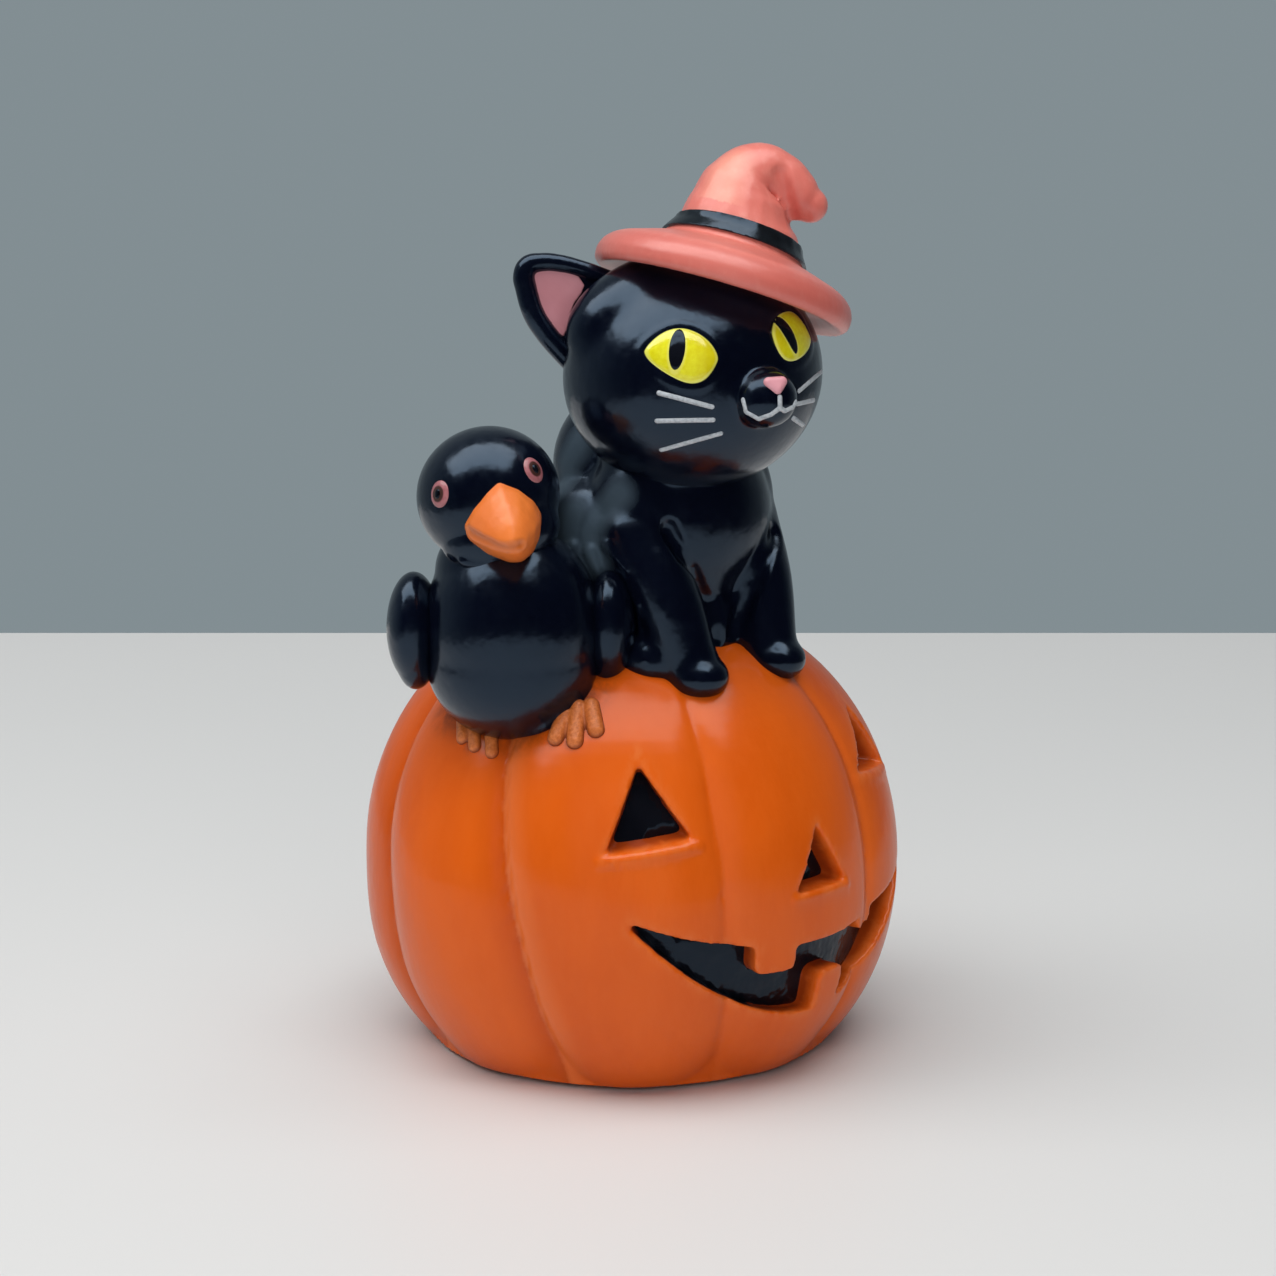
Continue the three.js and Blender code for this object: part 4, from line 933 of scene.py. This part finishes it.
for held, half in eyes.values():
    rim = []
    for step in range(RIM_STEPS + 1):
        turn = 2 * math.pi * step / RIM_STEPS
        across, up = almond(math.cos(turn), math.sin(turn))
        reach = [radius + RIM_OUTSIDE for radius in half]
        spot = held @ Vector((across * reach[0], up * reach[1], RIM_CLEARANCE))
        rim.append(head_tree.ray_cast(spot, -held.col[2].to_3d())[0])
    tooled(head, [point for point in rim if point is not None], RIM_WIDTH, RIM_HEIGHT)
settled(head.copy(), "cat_head", CAT_BLACK)
head_tree = BVHTree.FromBMesh(head)

# Cat's right ear
# A thick rounded triangle with a rolled rim, cast on the side of the head, and a sunk front painted pink. The
# hat covers the place of the other ear.
EAR_SLOPE = math.radians(60.5)
EAR_BACK = math.radians(19.8)
EAR_ROOT = (-9.52, 5.29, 6.47)
ear_along = Vector((math.cos(EAR_SLOPE), 0, math.sin(EAR_SLOPE)))
ear_up = Vector((-ear_along.z * math.cos(EAR_BACK), math.sin(EAR_BACK), ear_along.x * math.cos(EAR_BACK)))
ear_turn = Matrix((ear_along, ear_up, ear_along.cross(ear_up))).transposed().to_4x4()
ear_frame = head_frame @ Matrix.Translation(EAR_ROOT) @ ear_turn
# The middle of its rim from the inner root over the tip to the outer root, along and up the ear
EAR_RIM = (
    (4.9, -3), (4.8, 0), (4.6, 2.8), (4.2, 5), (3.6, 6.6), (2.7, 7.75), (1.6, 7.75), (0.5, 7.05), (-1.7, 5.2),
    (-3, 3.3), (-4, 1.3), (-5, -1.2), (-5.4, -3),
)
EAR_RIM_RADII = (0.9, 0.9, 0.9, 0.95, 1, 1.1) + (1.15,) * 7
EAR_PINK = (
    (-2.7, 1.4), (-2.5, 2.9), (-1.4, 4.7), (0.4, 6.4), (2, 7.4), (2.9, 7), (3.7, 5.5), (4, 3.8), (3.8, 2.4),
    (3.2, 1.5), (2, 1.5), (0.8, 1.8), (-1, 1.5),
)
EAR_THICKNESS = 0.9
EAR_GRAIN = 0.2
LINING_THICKNESS = 0.6
LINING_GRAIN = 0.15


def ear_plate(edge, back, thickness):
    """A plate that fills an edge, from a depth behind the middle of the rim."""
    shape = bmesh.new()
    shape.faces.new([shape.verts.new((along, up, -back)) for along, up in edge])
    raised(shape, (0, 0, thickness))
    bmesh.ops.recalc_face_normals(shape, faces=shape.faces)
    return shape


clay = ear_plate(EAR_RIM, EAR_THICKNESS, EAR_THICKNESS)
rolled(clay, [(along, up, 0) for along, up in EAR_RIM], EAR_RIM_RADII)
moved(clay, ear_frame)
settled(kneaded(clay, EAR_GRAIN, rounds=4), "cat_ear", CAT_BLACK, "cat_ear_right")


def pink_paint(name, low, high):
    """Dusty pink with a soft darker wash."""
    paint = Paint(name, roughness=0.38, coat=0.2, scale=1.5)
    paint.feed("Base Color", paint.brushed("Patches", low, high))
    paint.bump("Dimples", 0.00008)
    return paint.finish


EAR_LINING = pink_paint("ear_pink", (0.46, 0.18, 0.21), (0.56, 0.25, 0.29))
lining = kneaded(ear_plate(EAR_PINK, LINING_THICKNESS / 2, LINING_THICKNESS), LINING_GRAIN, rounds=4)
moved(lining, ear_frame)
settled(lining, "ear_lining", EAR_LINING, "cat_ear_lining")

# Cat's eyes
# Almond-shaped drops of clear-varnished yellow enamel, paler along the rim and golden towards the nose,
# each with a slit pupil in black enamel.
PUPIL_HALF = (0.82, 2.15)
PUPIL_THICKNESS = 0.14
# The pupil's place in each eye, and how far it leans
PUPILS = {"right": (-0.43, 0.5, 0), "left": (1.5, 0.2, 0.55)}


def round_eye(across, up):
    """A point of a round eye, left as it is."""
    return across, up


def eye_pieces(held, half, bulge, drawn, pupil_half, pupil_across=0, pupil_up=0, lean=0):
    """An eye and its pupil in a frame that looks along its third axis, with the masks of its paint."""
    lens = bmesh.new()
    bmesh.ops.create_uvsphere(lens, u_segments=64, v_segments=32, radius=1)
    rim_mask, side_mask, ring_mask = masked(lens, "rim", "side", "ring")
    for corner in lens.verts:
        across, up, out = corner.co
        corner[rim_mask] = math.hypot(across, up)
        corner[side_mask] = across
        across, up = drawn(across, up)
        corner.co = (across * half[0], up * half[1], out * bulge)
        up = corner.co.y - pupil_up
        across = corner.co.x - pupil_across - lean * up
        corner[ring_mask] = math.hypot(across / pupil_half[0], up / pupil_half[1])
    lens_tree = BVHTree.FromBMesh(lens)
    pupil = bmesh.new()
    bmesh.ops.create_uvsphere(pupil, u_segments=48, v_segments=24, radius=1)
    for corner in pupil.verts:
        up = corner.co.y * pupil_half[1]
        across = corner.co.x * pupil_half[0] + lean * up
        spot = Vector((across + pupil_across, up + pupil_up, bulge * 2))
        skin = lens_tree.ray_cast(spot, (0, 0, -1))[0] or Vector((*spot.xy, 0))
        corner.co = skin + Vector((0, 0, corner.co.z * PUPIL_THICKNESS))
    for shape in (lens, pupil):
        moved(shape, held)
        bmesh.ops.recalc_face_normals(shape, faces=shape.faces)
    return lens, pupil


def yellow_paint():
    """Bright yellow: pale along the rim and round the pupil, golden on the side towards the nose."""
    paint = Paint("eye_yellow", roughness=0.22, coat=0.6, coat_roughness=0.05, scale=2)
    yellow = paint.brushed("Hairs", (0.72, 0.66, 0.008), (0.8, 0.78, 0.02))
    yellow = paint.mix(paint.ramp(paint.mask("side"), 0.1, 0.6, 0, 0.5), yellow, (0.6, 0.47, 0.006))
    yellow = paint.mix(paint.ramp(paint.mask("ring"), 1.1, 1.3, 0.7, 0), yellow, (0.8, 0.78, 0.16))
    yellow = paint.mix(paint.ramp(paint.mask("rim"), 0.86, 0.93, 0, 0.8), yellow, (0.82, 0.82, 0.14))
    yellow = paint.mix(paint.ramp(paint.mask("rim"), 0.96, 0.985), yellow, (0.02, 0.02, 0.006))
    paint.feed("Base Color", yellow)
    paint.bump("Dimples", 0.00006)
    return paint.finish


YELLOW = yellow_paint()
for word, (held, half) in eyes.items():
    lens, pupil = eye_pieces(held, half, EYE_BULGE, almond, PUPIL_HALF, *PUPILS[word])
    settled(lens, f"cat_eye_{word}", YELLOW)
    settled(pupil, f"cat_pupil_{word}", ENAMEL)

# Cat's nose, mouth and whiskers
# A small rounded triangle of pink, raised on the muzzle, and a mouth and six whiskers drawn with a fine brush
# in thick pale grey paint.
NOSE_PIXEL = (776.5, 385)
NOSE_LUMPS = ((-0.75, 0.4, 0.55), (0.75, 0.4, 0.55), (0, -0.45, 0.55))
NOSE_DEPTH = 0.5
NOSE_SINK = 0.1
NOSE_GRAIN = 0.09
LINE_RADIUS = 0.3
LINE_GRAIN = 0.08
LINE_SINK = 0.12
LINE_STEPS = 4
MOUTH_PIXELS = (
    ((743, 400), (746, 412), (758.7, 419), (771, 414.6), (780, 408)),
    ((780, 408), (785, 411), (793, 407), (795.5, 402)),
    ((780, 408), (780, 397)),
)
WHISKER_PIXELS = {
    "right_top": ((659, 393), (712, 407)),
    "right_middle": ((657, 421), (713, 420)),
    "right_low": ((661.5, 450), (720.7, 433.6)),
    "left_top": ((799, 391), (821, 372)),
    "left_middle": ((797.7, 404), (819, 399)),
    "left_low": ((793, 418), (803, 425)),
}


def brush_line(clay, tree, pixels, radius):
    """Draws a line of thick paint through pixels of the photograph, where a surface shows there."""
    spots = []
    for start, end in zip(pixels, pixels[1:]):
        steps = (step / LINE_STEPS for step in range(LINE_STEPS))
        spots += [seen(tree, *Vector(start).lerp(Vector(end), step)) for step in steps]
    spots.append(seen(tree, *pixels[-1]))
    path = [point - normal * LINE_SINK for point, normal in spots if point is not None]
    rolled(clay, path, [radius] * len(path))


def grey_paint():
    """Pale grey brush paint that thins towards the black in places."""
    paint = Paint("line_grey", roughness=0.45, scale=3)
    grey = paint.mix(paint.ramp("Hairs", 0.3, 0.6), (0.3, 0.34, 0.38), (0.5, 0.54, 0.58))
    paint.feed("Base Color", grey)
    paint.bump("Hairs", 0.00006)
    return paint.finish


def spot_frame(tree, pixel, sink):
    """A frame on a surface at a pixel: its third axis looks out, its second up; it is sunk a little."""
    spot, out = seen(tree, *pixel)
    across = Vector((0, 0, 1)).cross(out).normalized()
    turn = Matrix((across, out.cross(across), out)).transposed().to_4x4()
    return Matrix.Translation(spot - out * sink) @ turn


NOSE_PINK = pink_paint("nose_pink", (0.66, 0.28, 0.33), (0.74, 0.35, 0.4))
nose_frame = spot_frame(head_tree, NOSE_PIXEL, NOSE_SINK)
clay = bmesh.new()
for across, up, radius in NOSE_LUMPS:
    lump(clay, (across, up, 0), (radius, radius, NOSE_DEPTH), nose_frame)
bmesh.ops.convex_hull(clay, input=clay.verts)
settled(kneaded(clay, NOSE_GRAIN, rounds=4), "cat_nose", NOSE_PINK)

GREY = grey_paint()
clay = bmesh.new()
for pixels in MOUTH_PIXELS:
    brush_line(clay, head_tree, pixels, LINE_RADIUS)
settled(kneaded(clay, LINE_GRAIN, rounds=3), "cat_mouth", GREY, "cat_mouth_line")
for word, pixels in WHISKER_PIXELS.items():
    clay = bmesh.new()
    brush_line(clay, head_tree, pixels, LINE_RADIUS)
    settled(kneaded(clay, LINE_GRAIN, rounds=3), f"whisker_{word}", GREY)

# Hat
# A cast witch's hat with a drooping brim and a tip that folds over, set on a pin and glued on the head
# askew. It is painted coral and has a satin varnish.
BRIM_PROFILE = (
    (0, 1.1), (7.2, 1.1), (8.1, 0.95), (9.4, 0.55), (10.9, 0.05), (12, -0.3), (12.9, -0.8), (13.6, -1.5),
    (14, -2.5), (13.9, -3.6), (13.3, -4.2), (12, -3.7), (11, -2.8), (9.5, -1.9), (7, -1.2), (0, -1.2),
)
BRIM_RADIUS = max(radius for radius, height in BRIM_PROFILE)
BRIM_SAG = 0.1
HAT_GRAIN = 0.24
# The crown and the tip that folds over, as one roll: its middle line and its radii
CROWN_LINE = (
    (0, 0, -2.9), (0, 0, 1.3), (-0.5, 0, 3.7), (-0.65, 0, 5.7), (-0.6, 0, 7.6), (0.3, 0, 9.4), (2.4, 0, 9.8),
    (4.3, 0, 8.85), (5.7, 0, 8.15), (6.4, 0, 7.95),
)
CROWN_RADII = (8.6, 7.05, 6.1, 5.45, 4.75, 3.6, 2.8, 2.65, 2.35, 1.9)
clay = turned(BRIM_PROFILE, SMALL_STEPS)
for corner in clay.verts:
    corner.co.z -= BRIM_SAG * max(corner.co.x / BRIM_RADIUS, 0) ** 2
moved(clay, crown_frame)
rolled(clay, CROWN_LINE, CROWN_RADII, crown_frame)
hat = kneaded(clay, HAT_GRAIN, rounds=10)
# The crease where the fold lies against the crown, by the pixels that it runs through
FOLD_CREASE = ((781, 174), (785, 189), (788, 206), (790, 218))
FOLD_BREADTH = 1.3
FOLD_SINK = 0.5
tooled(hat, traced(BVHTree.FromBMesh(hat), FOLD_CREASE), FOLD_BREADTH, -FOLD_SINK)
smoothed(hat)
# Painted shade round the brim's outer side, below its upper edge, and on the underside of the fold; and a
# painted highlight down the crown
BRIM_SIDE_RADIUS = 11
BRIM_SIDE_TOP = -0.5
BRIM_SIDE_BLEND = 0.6
FOLD_SHADE = ((790, 186), (797, 198), (808, 206))
SHADE_REACH = 1.9
CROWN_HIGHLIGHT = ((730, 163), (722, 182), (717, 200))
CROWN_HIGHLIGHT_REACH = 3.2
UPPER_CROWN_HEIGHT = 5
hat_tree = BVHTree.FromBMesh(hat)
shade_line = traced(hat_tree, FOLD_SHADE)
crown_highlight_line = traced(hat_tree, CROWN_HIGHLIGHT)
hat_shade_mask, crown_highlight_mask = masked(hat, "under", "stroke")
into_crown = crown_frame.inverted()
for corner in hat.verts:
    place = into_crown @ corner.co
    if place.xy.length > BRIM_SIDE_RADIUS:
        corner[hat_shade_mask] = min(max((BRIM_SIDE_TOP - place.z) / BRIM_SIDE_BLEND, 0), 1)
    elif place.z > UPPER_CROWN_HEIGHT:
        corner[hat_shade_mask] = fading(corner.co, shade_line, SHADE_REACH)
        corner[crown_highlight_mask] = fading(corner.co, crown_highlight_line, CROWN_HIGHLIGHT_REACH)


def coral_paint():
    """Coral with soft paler brush streaks, a painted highlight down the crown, and painted shade on the
    brim's side and under the fold.
    """
    paint = Paint("hat_coral", 0.42, coat=0.5, coat_roughness=0.28, scale=1.2, stretch=(1, 1, 0.6))
    coral = paint.brushed("Patches", (0.72, 0.17, 0.135), (0.8, 0.22, 0.175))
    coral = paint.mix(paint.ramp("Hairs", 0.5, 0.8, 0, 0.4), coral, (0.85, 0.33, 0.27))
    # A painted highlight down the crown's left side
    coral = paint.mix(paint.ramp(paint.mask("stroke"), 0, 0.7, 0, 0.5), coral, (0.92, 0.4, 0.28))
    # Painted shade on the brim's outer side and under the fold
    coral = paint.mix(paint.times(paint.mask("under"), 0.45), coral, (0.5, 0.1, 0.08))
    paint.feed("Base Color", coral)
    paint.bump(paint.plus("Dimples", paint.times("Hairs", 0.4)), 0.0001)
    return paint.finish


settled(hat, "hat", coral_paint())

# Hat band
# A band of thick black gloss paint round the foot of the crown, a little wider on one side, that stands just
# proud of the coral.
BAND_FOOT = 1.3
BAND_TOP = 3
BAND_FOOT_TILT = math.radians(5)
BAND_TOP_TILT = math.radians(7)
BAND_THICKNESS = 0.35
clay = bmesh.new()
rolled(clay, CROWN_LINE[:4], [radius + BAND_THICKNESS for radius in CROWN_RADII[:4]])
band = kneaded(clay, HAT_GRAIN, rounds=8)
for height, tilt, way in ((BAND_FOOT, BAND_FOOT_TILT, -1), (BAND_TOP, BAND_TOP_TILT, 1)):
    bmesh.ops.bisect_plane(
        band, geom=band.verts[:] + band.edges[:] + band.faces[:], plane_co=(0, 0, height),
        plane_no=(0, way * math.sin(tilt), way * math.cos(tilt)), clear_outer=True,
    )
bmesh.ops.holes_fill(band, edges=[edge for edge in band.edges if edge.is_boundary])
moved(band, crown_frame)
BAND_BLACK = black_paint("band_black", (0.004, 0.005, 0.006), (0.008, 0.009, 0.011))
settled(band, "hat_band", BAND_BLACK)

# Crow's body, wings and tail
# Black castings pinned to the pumpkin's shoulder: a plump body with a rough join of glue under it, two short
# wings pressed on its sides, and a blunt tail, which the photograph doesn't show.
CROW_MIDDLE = (-19.29, -2.03, 46.18)
CROW_TURN = math.radians(-48)
JOIN_RADII = (0.6, 0.9, 0.75, 1, 0.8, 0.6)
# Middles and radii of the lower and the upper belly and the neck; of each wing's two lumps, on the right; and
# how far along the body each wing sits
CROW_LUMPS = (
    ((0.1, 0, -1), (9.1, 8.8, 8.6)), ((0.1, 0, 2.5), (9.3, 9.1, 11)), ((-1.3, 0.4, 8.4), (6.7, 6.5, 5.6)),
)
WING_LUMPS = (((10.2, 0, 2.4), (2.8, 4.7, 5.9)), ((10, 0.2, 0.2), (2.3, 3.9, 4.5)))
WING_PLACES = {"right": -0.8, "left": 1.4}
WING_GRAIN = 0.2
CROW_TAIL_LINE = ((0, 5, -1.5), (-2.25, 8.8, -1), (-4.5, 14.3, 0.5))
CROW_TAIL_RADII = (3.6, 3.2, 2.2)
crow_frame = Matrix.Translation(CROW_MIDDLE) @ Matrix.Rotation(CROW_TURN, 4, "Z")
CROW_BLACK = black_paint("crow_black", (0.0012, 0.002, 0.0065), (0.0022, 0.0036, 0.01))
clay = lumped(CROW_LUMPS, crow_frame)
rolled(clay, join_line, JOIN_RADII)
settled(kneaded(clay, CAT_GRAIN, rounds=26), "crow_body", CROW_BLACK)
for side, (word, along) in zip(SIDES, WING_PLACES.items()):
    wing = [((side * across, along + back, up), radii) for (across, back, up), radii in WING_LUMPS]
    clay = lumped(wing, crow_frame)
    settled(kneaded(clay, WING_GRAIN, rounds=20), f"crow_wing_{word}", CROW_BLACK)
clay = bmesh.new()
rolled(clay, CROW_TAIL_LINE, CROW_TAIL_RADII, crow_frame)
settled(kneaded(clay, CAT_GRAIN, rounds=10), "crow_tail", CROW_BLACK)

# Crow's head
# A round casting set over the neck like a cap, with its lower edge left as a low lip under the throat. A pin
# in the neck holds it, and it is painted as the body is.
CROW_HEAD_PLACE = (-2.4, 0.8, 16.2)
CROW_HEAD_TURN = math.radians(14)
CROW_HEAD_LEAN = math.radians(-15)
CROW_HEAD_RADII = (7.5, 7.4, 7.2)
THROAT = ((0, -2.5, -3.5), (6.3, 5, 4.6))
LIP_PIXELS = ((441, 552), (463, 562), (490, 566), (520, 566), (545, 558))
LIP_BREADTH = 0.8
LIP_HEIGHT = 0.35
crow_head_turn = Matrix.Rotation(CROW_HEAD_TURN, 4, "Z") @ Matrix.Rotation(CROW_HEAD_LEAN, 4, "Y")
crow_head_frame = crow_frame @ Matrix.Translation(CROW_HEAD_PLACE) @ crow_head_turn
crow_head = kneaded(lumped((((0, 0, 0), CROW_HEAD_RADII), THROAT), crow_head_frame), CAT_GRAIN, rounds=8)
crow_head_tree = BVHTree.FromBMesh(crow_head)
tooled(crow_head, traced(crow_head_tree, LIP_PIXELS), LIP_BREADTH, LIP_HEIGHT)
settled(crow_head, "crow_head", CROW_BLACK)

# Crow's eyes
# Low drops of mauve pink paint set on the head, each with a dark brown middle and a small pupil of black
# enamel.
CROW_EYES = {"right": (439, 494), "left": (534, 469.5)}
CROW_EYE_HALF = (1.28, 1.44)
CROW_EYE_BULGE = 0.5
CROW_EYE_SINK = 0.25
CROW_PUPIL_HALF = (0.36, 0.5)


def ring_paint():
    """Mauve pink in a ring, and a dark brown middle."""
    paint = Paint("crow_eye_pink", roughness=0.35, coat=0.3, coat_roughness=0.1, scale=2)
    pink = paint.brushed("Hairs", (0.31, 0.1, 0.115), (0.4, 0.145, 0.16))
    inside = paint.ramp(paint.mask("rim"), 0.54, 0.64, 1, 0)
    paint.feed("Base Color", paint.mix(inside, pink, (0.05, 0.018, 0.014)))
    return paint.finish


RING = ring_paint()
for word, pixel in CROW_EYES.items():
    held = spot_frame(crow_head_tree, pixel, CROW_EYE_SINK)
    lens, pupil = eye_pieces(held, CROW_EYE_HALF, CROW_EYE_BULGE, round_eye, CROW_PUPIL_HALF)
    settled(lens, f"crow_eye_{word}", RING)
    settled(pupil, f"crow_pupil_{word}", ENAMEL)

# Crow's beak
# A thick closed beak with a ridge, cast on the head and painted orange. The line where its halves meet is
# pressed in.
BEAK_EDGE = (
    (0.9, 3), (-0.7, 2.3), (-2.6, 0.9), (-3.9, -0.7), (-3.9, -2.4), (-2.5, -4.4), (-0.5, -6), (0.9, -6.4),
    (2.5, -5.7), (3.7, -4.2), (4.4, -2.2), (4, -0.4), (2.8, 1.5),
)
BEAK_BASE = -5.4
BEAK_TIP = Vector((0.1, -12.4, -3.2))
# Each ring of the beak: how far it lies from the base to the tip, and how far it is drawn in
BEAK_RINGS = ((0, 0), (0.35, 0.12), (0.65, 0.34), (0.88, 0.62), (1, 0.85))
BEAK_GRAIN = 0.16
GAPE_PIXELS = ((469, 531), (484, 540), (499, 547), (513, 548), (521, 545))
GAPE_REACH = 0.9
GAPE_BREADTH = 0.8
GAPE_SINK = 0.25
clay = bmesh.new()
for way, drawn_in in BEAK_RINGS:
    for across, up in BEAK_EDGE:
        spot = Vector((across, 0, up)).lerp(Vector((BEAK_TIP.x, 0, BEAK_TIP.z)), drawn_in)
        clay.verts.new((spot.x, BEAK_BASE + (BEAK_TIP.y - BEAK_BASE) * way, spot.z))
bmesh.ops.convex_hull(clay, input=clay.verts)
moved(clay, crow_head_frame)
beak = kneaded(clay, BEAK_GRAIN, rounds=36)
gape = traced(BVHTree.FromBMesh(beak), GAPE_PIXELS)
gape_mask, = masked(beak, "gape")
for corner in beak.verts:
    corner[gape_mask] = fading(corner.co, gape, GAPE_REACH)
tooled(beak, gape, GAPE_BREADTH, -GAPE_SINK)


def beak_paint():
    """Clear orange, browner along the line where the two halves meet."""
    paint = Paint("beak_orange", roughness=0.38, coat=0.15, scale=1.5)
    orange = paint.brushed("Patches", (0.75, 0.165, 0.026), (0.85, 0.22, 0.04))
    paint.feed("Base Color", paint.mix(paint.times(paint.mask("gape"), 0.6), orange, (0.34, 0.07, 0.012)))
    paint.bump("Dimples", 0.0001)
    return paint.finish


settled(beak, "crow_beak", beak_paint())

# Crow's feet
# Three stubby toes on each foot, modelled on the pumpkin's skin at the edge of the belly, and painted
# orange, going to a dark brown of painted shade low on the toes and in the gaps between them.
TOES = {
    "right": (((463, 718), (463, 738)), ((474, 722), (475, 746)), ((491, 728), (492, 752))),
    "left": (((565, 714), (556, 738)), ((577, 707), (575, 741)), ((591, 706), (596, 730))),
}
TOE_RADII = {"right": 0.78, "left": 0.95}
TOE_GRAIN = 0.12


def brown_paint():
    """Orange on the toes' crests, going over to a dark brown of painted shade low on the toes and in the gaps
    between them.
    """
    paint = Paint("foot_brown", roughness=0.45, coat=0.1, scale=3)
    orange = paint.mix(paint.ramp("Hairs", 0.35, 0.65), (0.5, 0.115, 0.018), (0.7, 0.2, 0.05))
    # Dark brown low on the toes and in the gaps between them is painted shade
    crest = paint.ramp(paint.mask("crest"), 0.1, 0.6)
    paint.feed("Base Color", paint.mix(crest, (0.2, 0.035, 0.007), orange))
    paint.bump("Hairs", 0.00015)
    return paint.finish


BROWN = brown_paint()
for word, toes in TOES.items():
    clay = bmesh.new()
    for pixels in toes:
        brush_line(clay, pumpkin_tree, pixels, TOE_RADII[word])
    foot = kneaded(clay, TOE_GRAIN, rounds=4)
    crest_mask, = masked(foot, "crest")
    for corner in foot.verts:
        skin = pumpkin_tree.find_nearest(corner.co)[0]
        corner[crest_mask] = (corner.co - skin).length / TOE_RADII[word]
    settled(foot, f"crow_foot_{word}", BROWN)

# Pins
# Short lengths of drawn steel wire that line up the castings while the glue sets. They are hidden in the
# castings, and their solids are right as they are.
PINS = ("seat_pin_left", "seat_pin_right", "neck_pin", "hat_pin", "crow_seat_pin", "crow_neck_pin")


def pin_steel():
    """Grey steel with the fine marks of the drawing die along it."""
    paint = Paint("pin_steel", scale=2, stretch=(1, 1, 0.2))
    paint.set("Metallic", 1)
    grey = paint.mix(paint.ramp("Hairs", 0.3, 0.7), (0.44, 0.44, 0.46), (0.56, 0.56, 0.58))
    paint.feed("Base Color", grey)
    paint.feed("Roughness", paint.ramp("Hairs", 0.3, 0.7, 0.28, 0.42))
    return paint.finish


STEEL = pin_steel()
for name in PINS:
    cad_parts[name].data.materials.clear()
    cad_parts[name].data.materials.append(STEEL)

# Floor, studio and lamps
# A pale floor that ends behind the figure, a plain blue-grey studio, one broad soft lamp overhead, and a weak
# fill from the camera's side that isn't mirrored in the varnish.
FLOOR_WIDTH = 0.4
FLOOR_LENGTH = 0.6
FLOOR_FAR_EDGE = 0.196
FLOOR_THICKNESS = 0.02
FLOOR_ROUNDING = 0.002
FLOOR_COLOUR = (0.68, 0.68, 0.68, 1)
slab = bmesh.new()
floor_turn = Matrix.Rotation(CAMERA_AZIMUTH, 4, "Z")
floor_size = Matrix.Diagonal((FLOOR_WIDTH, FLOOR_LENGTH, FLOOR_THICKNESS, 1))
floor_place = Matrix.Translation((0, FLOOR_FAR_EDGE - FLOOR_LENGTH / 2, -FLOOR_THICKNESS / 2))
bmesh.ops.create_cube(slab, size=1, matrix=floor_turn @ floor_place @ floor_size)
bmesh.ops.bevel(
    slab, geom=slab.edges[:], offset=FLOOR_ROUNDING, segments=3, profile=0.5, affect="EDGES", material=-1,
)
floor = object_of(slab, "floor")
pale = bpy.data.materials.new("pale_floor")
pale.use_nodes = True
pale.node_tree.nodes["Principled BSDF"].inputs["Base Color"].default_value = FLOOR_COLOUR
floor.data.materials.append(pale)

# The studio is lightest behind the figure and to the left, and nearly dark behind the camera
LIT_LEFTWARDS = 0.4
LIT_FROM = -0.5
LIT_TO = 0.8
DARK_WALL = (0.007, 0.009, 0.014)
LIT_WALL = (0.225, 0.27, 0.29)
lit_side = (-camera_back - camera_right * LIT_LEFTWARDS).normalized()
studio = bpy.data.worlds.new("studio")
studio.use_nodes = True
tree = studio.node_tree
way = node(tree, "TexCoord", {}, "Generated")
towards = node(tree, "VectorMath", {0: way, 1: lit_side}, "Value", operation="DOT_PRODUCT")
lit = node(tree, "MapRange", {0: towards, 1: LIT_FROM, 2: LIT_TO}, interpolation_type="SMOOTHSTEP")
wall = node(tree, "Mix", {0: lit, 6: DARK_WALL, 7: LIT_WALL}, 2, data_type="RGBA")
tree.links.new(wall, tree.nodes["Background"].inputs["Color"])
bpy.context.scene.world = studio


def lamp(name, place, aim, size, power, colour):
    """An oblong soft lamp that looks at a point."""
    light = bpy.data.lights.new(name, "AREA")
    light.shape = "RECTANGLE"
    light.size, light.size_y = size
    light.energy = power
    light.color = colour
    held = bpy.data.objects.new(name, light)
    held.location = place
    held.rotation_euler = (Vector(aim) - Vector(place)).to_track_quat("-Z", "Y").to_euler()
    bpy.context.scene.collection.objects.link(held)
    return held


FIGURE_MIDDLE = (0, 0, 0.05)
CEILING_HEIGHT = 0.92
CEILING_FORWARD = 0.13
CEILING_LEFT = 0.3
CEILING_SIZE = (1.6, 0.75)
CEILING_POWER = 13.5
CEILING_WHITE = (1, 0.99, 0.97)
FILL_DISTANCE = 0.9
FILL_HEIGHT = 0.3
FILL_SIZE = (0.9, 0.9)
FILL_POWER = 4.5
FILL_WHITE = (1, 0.99, 0.98)
camera_side = Vector((camera_back.x, camera_back.y, 0)).normalized()
below = camera_side * CEILING_FORWARD - camera_right * CEILING_LEFT
above = below + Vector((0, 0, CEILING_HEIGHT))
ceiling = lamp("ceiling", above, below, CEILING_SIZE, CEILING_POWER, CEILING_WHITE)
ceiling.rotation_euler.z += CAMERA_AZIMUTH
front = camera_side * FILL_DISTANCE + Vector((0, 0, FILL_HEIGHT))
fill = lamp("fill", front, FIGURE_MIDDLE, FILL_SIZE, FILL_POWER, FILL_WHITE)
fill.visible_glossy = False

bpy.context.scene.view_settings.view_transform = "Standard"
